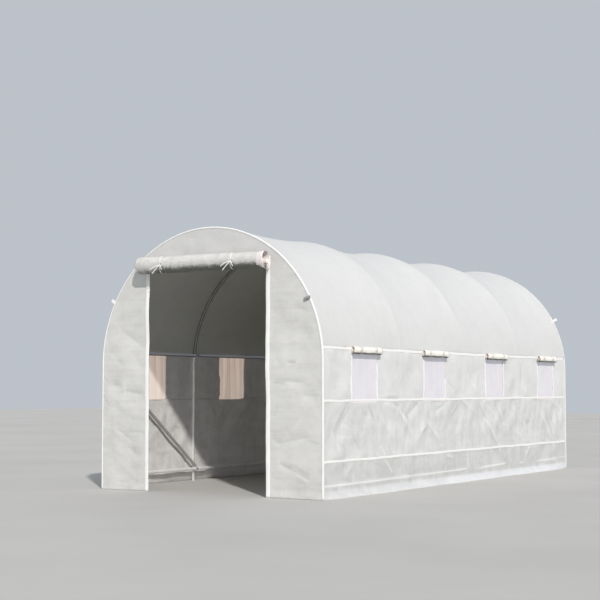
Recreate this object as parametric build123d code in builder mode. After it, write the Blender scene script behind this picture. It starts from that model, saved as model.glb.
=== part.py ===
from build123d import *
import os
from math import asin, atan2, cos, degrees, pi, radians, sin, sqrt

# A walk-in polytunnel greenhouse: five steel hoops tied by rails and corner braces, under a sewn plastic
# sheet with netted windows whose flaps are rolled up, and a door rolled up over an open doorway.
# Millimetres. X runs across the tunnel, Y from the door to the back, Z up from the ground.
# The origin is on the ground, in the middle of everything that the tunnel covers.

os.makedirs("parts", exist_ok=True)

# The tunnel's outline
tunnel_length = 4500.0  # over the two end panels
tunnel_width = 2000.0  # over the side walls
wall_height = 960.0  # from the ground to the spring line, where the arch begins
roof_sag = 25.0  # how far the roof dips at the crown, halfway between two hoops
roof_crest = 15.0  # the length of roof that lies flat on top of each hoop
roof_spans = 2  # straight spans of roof from one hoop to the next

# Sheet, tapes and net
sheet = 3.0
tape = 2.0
net = 1.5
roof_seam_rise = 98.0  # above the spring line
window_height = 372.0  # from the window seam up to the roof seam
lower_seam_height = 260.0
seam_tape_width = 18.0
door_tape_width = 32.0
binding_width = 18.0  # how far the edge binding laps onto each face of a corner
hem_height = 65.0
hem_flare = 25.0

# Steel frame
tube_diameter = 25.0
tube_flat = 14.0  # a tube is drawn with six sides, because the frame has so many, and two are this wide
hoop_count = 5
side_rail_rise = 90.0  # above the spring line
ground_rail_height = 100.0
brace_gap = 32.0  # along the hoop, from a brace's end to the rail beside it, centre to centre
clamp_length = 40.0
clamp_wall = 5.0
clamp_gap = 1.0  # between a clamp's open side and the hoop

# Doorway and its rolled-up door
door_width = 1060.0
door_head_drop = 270.0  # from the crown down to the top of the doorway
door_roll_diameter = 126.0
door_roll_overhang = 42.0  # past each side of the doorway
door_roll_layer = 5.0
door_roll_pitch = 17.0
door_roll_half_turns = 4
door_tie_places = (-380.0, 275.0)  # across the doorway, from its middle
door_tie_width = 12.0
door_tie = 2.0
door_tie_flats = 8  # flat sides over each half of the roll

# Windows and their rolled-up flaps
window_width = 360.0
window_shift = 7.875  # from the middle of the first bay back to the middle of its window
window_step = 20.75  # how much further apart the windows are than the hoops
window_trim_width = 12.0
net_lap = 8.0  # how far a net laps behind the sheet round its window
window_roll_diameter = 56.0
window_roll_length = 390.0
window_roll_drop = 15.0  # from the roof seam down to the middle of a flap's roll
window_roll_layer = 4.0
window_roll_sides = 12

# Loops for guy ropes, on the edge bindings
loop_angle = 28.0  # above the spring line, in degrees
loop_length = 30.0
loop_width = 24.0
loop_strap = 6.0  # the width of the strap round the loop's slot
loop_thickness = 3.0

# Sizes and places that follow from the ones above
cover_radius = tunnel_width / 2
inner_radius = cover_radius - sheet
tube_radius = tube_diameter / 2
hoop_radius = inner_radius - tube_radius
rail_radius = hoop_radius - tube_diameter
side_rail_angle = asin(side_rail_rise / rail_radius)
seam_angle = asin(roof_seam_rise / cover_radius)
seam_half = seam_tape_width / 2
clamp_width = tube_diameter + 2 * clamp_wall
window_seam_height = wall_height + roof_seam_rise - window_height
door_height = wall_height + cover_radius - door_head_drop
door_tape_top = door_height + door_tape_width

front_face = (door_roll_diameter + door_tie - tunnel_length) / 2
back_face = front_face + tunnel_length
frame_front = front_face + sheet
frame_back = back_face - sheet
hoop_pitch = (frame_back - frame_front - tube_diameter) / (hoop_count - 1)
hoop_places = [frame_front + tube_radius + hoop_pitch * i for i in range(hoop_count)]
first_window = hoop_places[0] + hoop_pitch / 2 + window_shift
window_places = [first_window + (hoop_pitch + window_step) * i for i in range(hoop_count - 1)]
arch_axis = Axis((0, 0, wall_height), (0, -1, 0))


def cross_plane(place):
    """The plane across the tunnel at a place along it: x to the right, y up and z to the front."""
    return Plane(origin=(0, place, 0), x_dir=(1, 0, 0), z_dir=(0, -1, 0))


def arch_plane(angle):
    """The plane through the arch's axis, turned up from the right-hand spring line by an angle in degrees.
    Its x runs outwards, its y to the back of the tunnel and its z up along the arch."""
    turn = radians(angle)
    outwards = (cos(turn), 0, sin(turn))
    return Plane(origin=(0, 0, wall_height), x_dir=outwards, z_dir=(-sin(turn), 0, cos(turn)))


def arch_face(radius, mode=Mode.ADD):
    """An arch: straight sides from the ground, and a half circle on the spring line."""
    with BuildLine() as outline:
        Polyline((radius, wall_height), (radius, 0), (-radius, 0), (-radius, wall_height))
        ThreePointArc((-radius, wall_height), (0, wall_height + radius), (radius, wall_height))
    make_face(outline.edges(), mode=mode)


def wall_strip(outer_radius, thickness, low, high):
    """The cut through a sheet that lies along the right-hand wall, between two heights."""
    arch_face(outer_radius)
    arch_face(outer_radius - thickness, Mode.SUBTRACT)
    with Locations((0, low)):
        Rectangle(tunnel_width, high - low, align=(Align.MIN, Align.MIN), mode=Mode.INTERSECT)


def roll_face(diameter, layer, pitch, half_turns, flange):
    """A sheet rolled up against a wall that stands at x = 0. Its flange comes down the wall to the height of
    the roll's middle, and half circles follow it, each smaller than the last by half the pitch."""
    with Locations((0, 0)):
        Rectangle(layer, flange, align=(Align.MIN, Align.MIN))
    for i in range(half_turns):
        radius = (diameter - i * pitch) / 2
        centre = diameter / 2 + (pitch / 2 if i % 2 else 0)
        start = 0 if i % 2 else 180
        with BuildLine() as strip:
            outer = CenterArc((centre, 0), radius, start, 180)
            inner = CenterArc((centre, 0), radius - layer, start, 180)
            Line(outer @ 0, inner @ 0)
            Line(outer @ 1, inner @ 1)
        make_face(strip.edges())


def tie_face(diameter, pitch):
    """A tie with flat sides round such a roll: over its top and front, and under it as far as the wall."""
    turn = pi / door_tie_flats
    over = ((diameter + pitch) / 2, (diameter - pitch) / 2, 1)
    under = (diameter / 2, diameter / 2, -1)
    for centre, radius, way in (over, under):
        rims = []
        for rim in (radius + door_tie, radius):
            corner = rim / cos(turn / 2)
            angles = [turn * (i + 0.5) for i in range(door_tie_flats)]
            corners = [(centre + corner * cos(angle), way * corner * sin(angle)) for angle in angles]
            rims.append([(centre + rim, 0), *corners, (centre - rim, 0)])
        with BuildLine() as band:
            Polyline(*rims[0], *reversed(rims[1]), close=True)
        make_face(band.edges())
    Rectangle(diameter, 2 * diameter, align=(Align.MAX, Align.CENTER), mode=Mode.SUBTRACT)


def tube_face():
    """The section of a frame tube, with its wide flats to the left and right."""
    flat = tube_flat / 2
    right_side = [(tube_radius, -flat), (tube_radius, flat), (0, tube_radius)]
    left_side = [(-tube_radius, flat), (-tube_radius, -flat), (0, -tube_radius)]
    Polygon(*right_side, *left_side, align=None)


def save(piece, name):
    """Labels a finished piece and writes it as the node of that name."""
    piece.label = name
    export_step(piece, f"parts/{name}.step")


def save_pair(piece, name):
    """Writes a piece of the right-hand side, and its mirror image for the left-hand side."""
    save(piece, f"{name}_right")
    with BuildPart() as other_side:
        mirror(piece, about=Plane.YZ)
    save(other_side.part, f"{name}_left")


# Hoops: each has two straight legs and a bent tube over them
with BuildPart() as hoop_legs:
    with BuildSketch():
        for place in hoop_places:
            with Locations((-hoop_radius, place), (hoop_radius, place)):
                tube_face()
    extrude(amount=wall_height)
save(hoop_legs.part, "hoop_legs")

with BuildPart() as hoop_arches:
    with BuildSketch(arch_plane(0)):
        with Locations([(hoop_radius, place) for place in hoop_places]):
            tube_face()
    revolve(axis=arch_axis, revolution_arc=180)
save(hoop_arches.part, "hoop_arches")

# Rails: straight tubes along the inside of the hoops
ridge_centre = (0, wall_height + rail_radius)
side_centre = (rail_radius * cos(side_rail_angle), wall_height + side_rail_rise)
ground_centre = (rail_radius, ground_rail_height)
side_turn = degrees(side_rail_angle) - 90  # a corner of the side rail's section faces the hoops
rails = []
for rail_centre, turn in ((ridge_centre, 0), (side_centre, side_turn), (ground_centre, 0)):
    with BuildPart() as rail:
        with BuildSketch(cross_plane(frame_front)):
            with Locations(Location(rail_centre, turn)):
                tube_face()
        extrude(amount=frame_front - frame_back)
    rails.append(rail.part)
ridge_rail, side_rail, ground_rail = rails
save(ridge_rail, "ridge_rail")
save_pair(side_rail, "side_rail")
save_pair(ground_rail, "ground_rail")

with BuildPart() as ground_rail_back:
    with BuildSketch(Plane.YZ) as back_rail_section:
        with Locations((hoop_places[-1] - clamp_length / 2 - tube_radius, ground_rail_height)):
            tube_face()
    extrude(back_rail_section.sketch, amount=rail_radius - tube_radius, both=True)
save(ground_rail_back.part, "ground_rail_back")

# Corner braces: from the side rail at each end hoop down to the ground rail at the next hoop
brace_rise = side_rail_rise - brace_gap
brace_top_x = sqrt(rail_radius**2 - (brace_rise + tube_radius) ** 2)
with BuildPart() as braces:
    for end_place, next_place in (hoop_places[:2], hoop_places[:-3:-1]):
        with BuildLine() as brace_line:
            Line(
                (brace_top_x, end_place, wall_height + brace_rise),
                (rail_radius, next_place, ground_rail_height + brace_gap),
            )
        with BuildSketch(Plane(origin=brace_line.line @ 0, x_dir=(1, 0, 0), z_dir=brace_line.line % 0)):
            tube_face()
        sweep(path=brace_line.line)
save_pair(braces.part, "braces")


# Clamps: saddles that hold a rail against each hoop that it crosses, open towards the hoop
def clamp_blocks(centre, outward, rail_tube):
    """A clamp at each hoop for the rail round a centre, given the direction from it to the hoops."""
    for place in hoop_places:
        low = max(place - clamp_length / 2, hoop_places[0])
        high = min(place + clamp_length / 2, hoop_places[-1])
        crossing = Plane(origin=(centre[0], (low + high) / 2, centre[1]), x_dir=(0, 1, 0), z_dir=outward)
        with BuildSketch(crossing.offset(-clamp_width / 2)) as block:
            Rectangle(high - low, clamp_width)
        extrude(block.sketch, amount=clamp_width - clamp_wall - clamp_gap)
    add(rail_tube, mode=Mode.SUBTRACT)


with BuildPart() as ridge_clamps:
    clamp_blocks(ridge_centre, (0, 0, 1), ridge_rail)
save(ridge_clamps.part, "ridge_clamps")

with BuildPart() as side_clamps:
    clamp_blocks(side_centre, (cos(side_rail_angle), 0, sin(side_rail_angle)), side_rail)
save_pair(side_clamps.part, "side_clamps")

with BuildPart() as ground_clamps:
    clamp_blocks(ground_centre, (1, 0, 0), ground_rail)
save_pair(ground_clamps.part, "ground_clamps")


# Roof: strips of sheet side by side, each lofted from hoop to hoop through lower arches between them
def roof_point(depth, sag, share):
    """A point at a depth below the roof's top face, a share of the way from the right seam to the left one,
    where the crown hangs lower than the hoops by the sag."""
    radius = cover_radius - depth
    edge = sqrt(radius**2 - roof_seam_rise**2), wall_height + roof_seam_rise
    crown = wall_height + radius - sag
    rise = crown - edge[1]
    arc_radius = (edge[0] ** 2 + rise**2) / (2 * rise)
    centre = crown - arc_radius
    edge_angle = atan2(edge[1] - centre, edge[0])
    angle = edge_angle + share * (pi - 2 * edge_angle)
    return arc_radius * cos(angle), centre + arc_radius * sin(angle)


def roof_strip(start, end, sag):
    """The cut through the roof between two shares of the way over it."""
    with BuildLine() as outline:
        for depth in (0, sheet):
            ThreePointArc(*(roof_point(depth, sag, share) for share in (start, (start + end) / 2, end)))
        for share in (start, end):
            Line(roof_point(0, sag, share), roof_point(sheet, sag, share))
    make_face(outline.edges())


roof_stations = [(front_face, 0)]
for place in hoop_places[:-1]:
    span = (hoop_pitch - roof_crest) / roof_spans
    roof_stations.append((place - roof_crest / 2, 0))
    for i in range(roof_spans):
        part_way = i / roof_spans
        roof_stations.append((place + roof_crest / 2 + i * span, 4 * roof_sag * part_way * (1 - part_way)))
roof_stations += [(hoop_places[-1] - roof_crest / 2, 0), (back_face, 0)]
roof_names = ["roof_eave_right", "roof_slope_right", "roof_crown", "roof_slope_left", "roof_eave_left"]
for number, roof_name in enumerate(roof_names):
    with BuildPart() as roof:
        for place, sag in roof_stations:
            with BuildSketch(cross_plane(place)):
                roof_strip(number / len(roof_names), (number + 1) / len(roof_names), sag)
        loft(ruled=True)
    save(roof.part, roof_name)

# Side walls: a band with windows cut through it from seam to seam, and the plain wall below it
with BuildPart() as window_band:
    with BuildSketch(cross_plane(front_face)):
        wall_strip(cover_radius, sheet, window_seam_height, wall_height + roof_seam_rise)
    extrude(amount=-tunnel_length)
    with BuildSketch(Plane.YZ) as window_cuts:
        with Locations([(place, window_seam_height) for place in window_places]):
            Rectangle(window_width, window_height + sheet, align=(Align.CENTER, Align.MIN))
    extrude(window_cuts.sketch, amount=tunnel_width, mode=Mode.SUBTRACT)
save_pair(window_band.part, "window_band")

with BuildPart() as lower_wall:
    with BuildSketch(cross_plane(front_face)):
        wall_strip(cover_radius, sheet, hem_height, window_seam_height)
    extrude(amount=-tunnel_length)
save_pair(lower_wall.part, "lower_wall")

# Hem: the foot of each side wall, spread outwards on the ground between the edge bindings
bound_front = front_face + binding_width
bound_length = tunnel_length - 2 * binding_width
with BuildPart() as hem:
    with BuildSketch(cross_plane(bound_front)):
        with BuildLine():
            Polyline(
                (cover_radius, hem_height),
                (cover_radius + hem_flare, 0),
                (inner_radius + hem_flare, 0),
                (inner_radius, hem_height),
                close=True,
            )
        make_face()
    extrude(amount=-bound_length)
save_pair(hem.part, "hem")

# Tapes of each side wall: along its three seams, and up both sides of each window
trim_offset = (window_width + window_trim_width) / 2
with BuildPart() as wall_tapes:
    for seam_height in (lower_seam_height, window_seam_height, wall_height + roof_seam_rise):
        with BuildSketch(cross_plane(bound_front)) as seam:
            wall_strip(cover_radius + tape, tape, seam_height - seam_half, seam_height + seam_half)
        extrude(seam.sketch, amount=-bound_length)
    for place in window_places:
        for trim_place in (place - trim_offset, place + trim_offset):
            with BuildSketch(cross_plane(trim_place)) as trim_strip:
                wall_strip(cover_radius + tape, tape, window_seam_height, wall_height + roof_seam_rise)
            extrude(trim_strip.sketch, amount=window_trim_width / 2, both=True)
save_pair(wall_tapes.part, "wall_tapes")

# Windows: a net behind each opening, and the rolled flap over it
with BuildPart() as window_nets:
    for place in window_places:
        with BuildSketch(cross_plane(place)) as net_strip:
            wall_strip(inner_radius, net, window_seam_height - net_lap, wall_height + roof_seam_rise)
        extrude(net_strip.sketch, amount=window_width / 2 + net_lap, both=True)
save_pair(window_nets.part, "window_nets")


def flap_plane(place):
    """The plane across a flap's roll: its x stands out from the roof seam's tape, its y runs up along it."""
    seat = cover_radius + tape
    outward = (cos(seam_angle), sin(seam_angle))
    middle_x = seat * outward[0] + window_roll_drop * outward[1]
    middle_z = wall_height + seat * outward[1] - window_roll_drop * outward[0]
    return Plane(origin=(middle_x, place, middle_z), x_dir=(outward[0], 0, outward[1]), z_dir=(0, -1, 0))


with BuildPart() as window_rolls:
    for place in window_places:
        with BuildSketch(flap_plane(place)) as flap_section:
            Rectangle(window_roll_layer, window_roll_drop + seam_half, align=(Align.MIN, Align.MIN))
            with Locations((window_roll_diameter / 2, 0)):
                RegularPolygon(window_roll_diameter / 2, window_roll_sides, major_radius=False, rotation=15)
        extrude(flap_section.sketch, amount=window_roll_length / 2, both=True)
save_pair(window_rolls.part, "window_rolls")

# Front end: a panel on each side of the doorway and one over it, with tape round the doorway's edge
with BuildPart() as front_panel:
    with BuildSketch(cross_plane(front_face)):
        arch_face(inner_radius)
        with Locations((door_width / 2, 0)):
            Rectangle(inner_radius, 2 * tunnel_width, align=(Align.MIN, Align.MIN), mode=Mode.INTERSECT)
    extrude(amount=-sheet)
save_pair(front_panel.part, "front_panel")

with BuildPart() as door_head:
    with BuildSketch(cross_plane(front_face)):
        arch_face(inner_radius)
        with Locations((0, door_height)):
            Rectangle(door_width, tunnel_width, align=(Align.CENTER, Align.MIN), mode=Mode.INTERSECT)
    extrude(amount=-sheet)
save(door_head.part, "front_panel_over_door")

with BuildPart() as door_tape:
    with BuildSketch(cross_plane(front_face)):
        Rectangle(door_width + 2 * door_tape_width, door_tape_top, align=(Align.CENTER, Align.MIN))
        Rectangle(door_width, door_height, align=(Align.CENTER, Align.MIN), mode=Mode.SUBTRACT)
    extrude(amount=tape)
save(door_tape.part, "door_tape")

# Back end: one closed panel
with BuildPart() as back_panel:
    with BuildSketch(cross_plane(back_face)):
        arch_face(inner_radius)
    extrude(amount=sheet)
save(back_panel.part, "back_panel")

# Edge bindings: tape round each end panel, over the edges of the walls and roof
for binding_name, face, outward in (("front", front_face, 1), ("back", back_face, -1)):
    with BuildPart() as binding:
        with BuildSketch(cross_plane(face)):
            arch_face(cover_radius + tape)
            arch_face(cover_radius - binding_width, Mode.SUBTRACT)
        extrude(amount=outward * tape)
    save(binding.part, f"edge_binding_{binding_name}")

# Guy loops: flat straps that stand out from the edge bindings, each with a slot for a guy rope
with BuildPart() as guy_loops:
    for face, inwards in ((front_face, -1), (back_face, 1)):
        with BuildSketch(cross_plane(face)) as straps:
            with Locations((0, wall_height)):
                with PolarLocations(cover_radius + tape, 2, loop_angle, 180 - 2 * loop_angle, endpoint=True):
                    Rectangle(2 * loop_length, loop_width)
                    Rectangle(
                        2 * (loop_length - loop_strap), loop_width - 2 * loop_strap, mode=Mode.SUBTRACT
                    )
            arch_face(cover_radius + tape, Mode.SUBTRACT)
        extrude(straps.sketch, amount=inwards * loop_thickness)
save(guy_loops.part, "guy_loops")


# Door: the sheet rolled up over the doorway, hanging from the tape, with its ties
def door_roll_plane(place):
    """The plane across the door's roll: its x stands out from the doorway's tape, its y runs up."""
    return Plane(origin=(place, front_face - tape, door_height), x_dir=(0, -1, 0), z_dir=(-1, 0, 0))


with BuildPart() as door_roll:
    with BuildSketch(door_roll_plane(0)) as door_section:
        roll_face(door_roll_diameter, door_roll_layer, door_roll_pitch, door_roll_half_turns, door_tape_width)
    extrude(door_section.sketch, amount=door_width / 2 + door_roll_overhang, both=True)
save(door_roll.part, "door_roll")

with BuildPart() as door_ties:
    for place in door_tie_places:
        with BuildSketch(door_roll_plane(place)) as door_tie_section:
            tie_face(door_roll_diameter, door_roll_pitch)
        extrude(door_tie_section.sketch, amount=door_tie_width / 2, both=True)
save(door_ties.part, "door_ties")
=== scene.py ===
"""A walk-in polytunnel greenhouse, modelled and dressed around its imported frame. Metres throughout."""

from __future__ import annotations

import logging
import math
from dataclasses import dataclass, replace
from enum import Enum
from typing import Callable, Sequence

import bpy
import numpy as np
from mathutils import Matrix, Vector


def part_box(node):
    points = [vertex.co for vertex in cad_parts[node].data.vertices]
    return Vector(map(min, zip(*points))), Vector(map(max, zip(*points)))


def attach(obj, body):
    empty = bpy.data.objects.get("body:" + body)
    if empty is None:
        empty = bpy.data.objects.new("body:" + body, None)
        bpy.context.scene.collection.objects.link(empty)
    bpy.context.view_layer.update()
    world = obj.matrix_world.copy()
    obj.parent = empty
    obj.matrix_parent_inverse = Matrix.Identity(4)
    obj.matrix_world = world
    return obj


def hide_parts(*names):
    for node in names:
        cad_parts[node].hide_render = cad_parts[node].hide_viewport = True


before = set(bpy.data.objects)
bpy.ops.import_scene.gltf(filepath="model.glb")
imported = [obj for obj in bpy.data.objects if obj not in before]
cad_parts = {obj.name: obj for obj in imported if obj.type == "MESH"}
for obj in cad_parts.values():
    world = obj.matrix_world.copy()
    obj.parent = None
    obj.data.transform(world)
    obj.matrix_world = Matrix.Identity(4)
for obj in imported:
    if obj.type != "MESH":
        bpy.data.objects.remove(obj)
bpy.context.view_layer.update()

log = logging.getLogger("polytunnel")
Array = np.ndarray
Piece = bpy.types.Object
Socket = bpy.types.NodeSocket
Material = bpy.types.Material
Colour = tuple[float, float, float]
BLACK = (0.0, 0.0, 0.0)


class Side(Enum):
    """A side of the tunnel, with the sign of x there."""

    LEFT = -1
    RIGHT = 1

    @property
    def label(self) -> str:
        """The side's name in the names of nodes and pieces."""
        return self.name.lower()


class Held(Enum):
    """How a sheet is held."""

    HUNG = "hung"
    STRETCHED = "stretched"
    FOLDED = "folded"


# Materials


def maths(operation: str, swapped: bool = False) -> Callable[..., Value]:
    """A method of Value that adds a Math node.

    Args:
        operation: The node's operation.
        swapped: Whether the other number comes first.

    Returns:
        The method.
    """

    def method(value: Value, *others: Value | float) -> Value:
        """The node's result for the value and the others."""
        numbers = (*others, value) if swapped else (value, *others)
        return value.graph.value("ShaderNodeMath", dict(enumerate(numbers)), operation=operation)

    return method


class Value:
    """A number that varies over a surface: a socket that sums can be written with."""

    __add__, __mul__, __pow__, __abs__ = maths("ADD"), maths("MULTIPLY"), maths("POWER"), maths("ABSOLUTE")
    __sub__, __rsub__ = maths("SUBTRACT"), maths("SUBTRACT", swapped=True)
    larger, sine = maths("MAXIMUM"), maths("SINE")

    def __init__(self, graph: Graph, socket: Socket) -> None:
        """Wraps an output socket of a graph."""
        self.graph = graph
        self.socket = socket

    def wave(self, spacing: float) -> Value:
        """A wave of this length, from 0 to 1."""
        return (self * (2 * math.pi / spacing)).sine() * 0.5 + 0.5

    def step(self, low: float, high: float) -> Value:
        """A smooth rise from 0 at low to 1 at high, or a fall where low is the larger."""
        sockets = {"Value": self, "From Min": low, "From Max": high}
        return self.graph.value("ShaderNodeMapRange", sockets, interpolation_type="SMOOTHSTEP")


class Graph:
    """The nodes of one material."""

    def __init__(self, name: str) -> None:
        """Starts an empty material.

        Args:
            name: The material's name.
        """
        self.material = bpy.data.materials.new(name)
        self.material.use_nodes = True
        self.tree = self.material.node_tree
        self.tree.nodes.clear()

    def node(self, kind: str, sockets: dict[int | str, object] | None = None, **settings: object) -> bpy.types.Node:
        """Adds a node.

        Args:
            kind: The node's type.
            sockets: The values and links of its inputs.
            settings: Its settings, which are set first.

        Returns:
            The node.
        """
        made = self.tree.nodes.new(kind)
        for name, setting in settings.items():
            setattr(made, name, setting)
        for name, value in (sockets or {}).items():
            socket = made.inputs[name]
            value = value.socket if isinstance(value, Value) else value
            if isinstance(value, Socket):
                self.tree.links.new(value, socket)
            elif isinstance(value, tuple) and len(value) == 3 and len(socket.default_value) == 4:
                socket.default_value = (*value, 1.0)
            else:
                socket.default_value = value
        return made

    def value(self, kind: str, sockets: dict[int | str, object] | None = None, **settings: object) -> Value:
        """Adds a node and takes its first output, with the arguments of node."""
        return Value(self, self.node(kind, sockets, **settings).outputs[0])

    def on_sheet(self) -> Socket:
        """The place on the flat sheet, in metres, from the piece's own UV map."""
        return self.node("ShaderNodeTexCoord").outputs["UV"]

    def on_object(self) -> Socket:
        """The place in the tunnel, in metres."""
        return self.node("ShaderNodeTexCoord").outputs["Object"]

    def parts(self, vector: Socket) -> tuple[Value, Value, Value]:
        """The three numbers of a vector."""
        node = self.node("ShaderNodeSeparateXYZ", {0: vector})
        return tuple(Value(self, socket) for socket in node.outputs)

    def stretched(self, vector: Socket, x: float, y: float = 1.0) -> Socket:
        """A vector with its first two numbers scaled."""
        return self.node("ShaderNodeMapping", {"Vector": vector, "Scale": (x, y, 1.0)}).outputs[0]

    def noise(self, vector: Socket, scale: float, detail: float = 3.0, rough: float = 0.55) -> Value:
        """Cloudy noise.

        Args:
            vector: Where the noise is read.
            scale: The number of clouds in a metre.
            detail: How many finer layers it has.
            rough: How strong the finer layers are.

        Returns:
            A value round 0.5.
        """
        sockets = {"Vector": vector, "Scale": scale, "Detail": detail, "Roughness": rough}
        return self.value("ShaderNodeTexNoise", sockets)

    def cells(self, vector: Socket, scale: float) -> Value:
        """The distance from the edges of crumpled cells, of which there are so many in a metre."""
        sockets = {"Vector": vector, "Scale": scale}
        return self.value("ShaderNodeTexVoronoi", sockets, feature="DISTANCE_TO_EDGE")

    def attribute(self, name: str) -> Value:
        """A number that the mesh carries at each point."""
        return Value(self, self.node("ShaderNodeAttribute", attribute_name=name).outputs["Fac"])

    def blend(self, share: Value, first: Colour | Socket, second: Colour) -> Socket:
        """The first colour with this share of the second in it."""
        return self.node("ShaderNodeMix", {0: share, 6: first, 7: second}, data_type="RGBA").outputs[2]

    def bump(self, height: Value, depth: float, strength: float) -> Socket:
        """A normal from a height.

        Args:
            height: The height, from 0 to 1.
            depth: The depth in metres that a height of 1 stands for.
            strength: How much of it shows.

        Returns:
            The normal.
        """
        node = self.node("ShaderNodeBump", {"Strength": strength, "Distance": depth, "Height": height})
        return node.outputs[0]

    def surface(self, **sockets: object) -> Material:
        """Adds the shader and the output.

        Args:
            sockets: The shader's inputs, with underscores for the blanks in their names.

        Returns:
            The finished material.
        """
        named = {name.replace("_", " "): value for name, value in sockets.items()}
        named["Specular IOR Level"] = named.pop("Specular", 0.5)
        if "Emission Color" in named:
            named["Emission Strength"] = 1.0
        shader = self.node("ShaderNodeBsdfPrincipled", named)
        self.node("ShaderNodeOutputMaterial", {0: shader.outputs[0]})
        return self.material


@dataclass(frozen=True)
class Finish:
    """A finish that pieces are dressed in, with its main colour and the shade that it varies to."""

    name: str
    colour: Colour
    shade: Colour
    slot = ""

    def build(self, graph: Graph) -> Material:
        """Adds the finish's nodes.

        Args:
            graph: The graph to add them to.

        Returns:
            The material.
        """
        raise NotImplementedError

    def material(self) -> Material:
        """The finish's material, made on its first use."""
        found = bpy.data.materials.get(self.name)
        return found or self.build(Graph(self.name))


HEM_WHITE = (0.79, 0.80, 0.85)
HEM_EDGE = (0.85, 0.83, 0.78)
# Where the sheets' looks change, as heights, and as a stretch of the tunnel's length
SPLASHED = (0.20, 0.0)
FOOT = (0.275, 0.250)
HEM = (0.067, 0.050)
HEM_FOLD = (0.012, 0.004)
UPPER = (1.045, 1.075)
CROWN = (1.60, 1.76)
LENGTHWAYS = (-2.3, 0.6)


@dataclass(frozen=True)
class WovenSheet(Finish):
    """Woven plastic sheet with a fine reinforcing grid."""

    # crease and dark: the painted highlight and painted shade of creases, of the line over the ground rail and of
    # the hoop lines
    crease: Colour = (0.86, 0.86, 0.85)
    dark: Colour = (0.44, 0.44, 0.42)
    hem: float = 0.0
    threads: tuple[float, float] = (0.024, 0.017)
    thread_share: float = 0.10
    streaked: tuple[float, float] = (1.0, 0.05)
    line_share: float = 0.20
    foot: float = 0.0
    top: Colour = BLACK
    # upper: painted shade on the inside above the side rails; glow and low_glow: painted light let through the
    # sheet, above and below them
    upper: Colour = BLACK
    glow: Colour = BLACK
    low_glow: Colour = BLACK
    weave: float = 0.0024
    rough: float = 0.46
    slot = "cover_sheet"

    def build(self, graph: Graph) -> Material:
        """Adds the sheet's nodes.

        Args:
            graph: The graph to add them to.

        Returns:
            The material.
        """
        sheet = graph.on_sheet()
        along, across, _ = graph.parts(sheet)
        _, depth, height = graph.parts(graph.on_object())
        near, up = self.threads
        threads = along.wave(near) * 0.5 + across.wave(up) * 0.5
        weave = along.wave(self.weave) * across.wave(self.weave)
        clouds = graph.noise(sheet, 1.7, 4.0)
        smudges = graph.noise(graph.stretched(sheet, 1.0, 1.8), 6.5, 5.0, 0.62)
        specks = graph.noise(sheet, 26.0, 3.0, 0.6)
        crumple = graph.cells(graph.stretched(sheet, 1.0, 0.7), 9.0).step(0.0, 0.22)
        painted_tones = graph.attribute("fold")
        splashes = height.step(*SPLASHED) * smudges.step(0.40, 0.7)
        lines = graph.noise(graph.stretched(sheet, *self.streaked), 30.0, 3.0, 0.7)
        patches = clouds.step(0.34, 0.70) * 0.30 + smudges.step(0.36, 0.72) * 0.34 + specks.step(0.5, 0.75) * 0.20
        patches = patches + lines.step(0.42, 0.68) * self.line_share
        low = height.step(*FOOT) * self.foot
        colour = graph.blend(patches + threads * self.thread_share + splashes * 0.35 + low, self.colour, self.shade)
        # Painted shade on the inside above the side rails
        if any(self.upper):
            colour = graph.blend(height.step(*UPPER) * 0.75, colour, self.upper)
        if any(self.top):
            colour = graph.blend(height.step(*CROWN) * 0.6, colour, self.top)
        # Painted highlight and painted shade along the creases, the ground rail and the hoops
        colour = graph.blend((painted_tones * 1.25).larger(0.0), colour, self.crease)
        colour = graph.blend((painted_tones * -1.25).larger(0.0), colour, self.dark)
        if self.hem:
            whiter = depth.step(*LENGTHWAYS) * 0.8 + 0.4
            colour = graph.blend(height.step(*HEM) * whiter * self.hem, colour, HEM_WHITE)
            colour = graph.blend(height.step(*HEM_FOLD) * 0.3, colour, HEM_EDGE)
        relief = threads * 0.25 + weave * 0.15 + crumple * 0.9 + smudges * 1.6
        sockets = {
            "Base_Color": colour,
            "Roughness": smudges * 0.16 + (self.rough - 0.08) - painted_tones * 0.06,
            "Normal": graph.bump(relief, 0.0011, 0.55),
            "Sheen_Weight": 0.05,
        }
        # Painted light let through the sheet, dimmer in the patches
        if any(self.glow):
            light = graph.blend(height.step(*UPPER[::-1]), self.glow, self.low_glow)
            dimmed = tuple(0.40 * part for part in self.glow)
            sockets["Emission_Color"] = graph.blend(patches * 0.85, light, dimmed)
        return graph.surface(**sockets)


@dataclass(frozen=True)
class SewnTape(Finish):
    """White woven tape with a row of stitches inside each edge."""

    stitch_inset: float
    width: float
    slot = "white_tape"

    def build(self, graph: Graph) -> Material:
        """Adds the tape's nodes.

        Args:
            graph: The graph to add them to.

        Returns:
            The material.
        """
        sheet = graph.on_sheet()
        along, across, _ = graph.parts(sheet)
        ribs = along.wave(0.0016) * 0.6 + across.wave(0.0011) * 0.4
        row = abs(abs(across) - (self.width / 2 - self.stitch_inset)).step(0.0009, 0.0003)
        stitches = row * along.wave(0.0052).step(0.3, 0.45)
        grime = graph.noise(graph.stretched(sheet, 1.0, 5.0), 7.0, 4.0).step(0.5, 0.8)
        shade = stitches * 0.55 + ribs * 0.10 + grime * 0.28
        relief = stitches * 1.4 + ribs * 0.3 + graph.noise(sheet, 60.0) * 0.9
        return graph.surface(
            Base_Color=graph.blend(shade, self.colour, self.shade),
            Roughness=ribs * 0.1 + 0.62,
            Normal=graph.bump(relief, 0.0005, 0.6),
            Sheen_Weight=0.15,
        )


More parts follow.
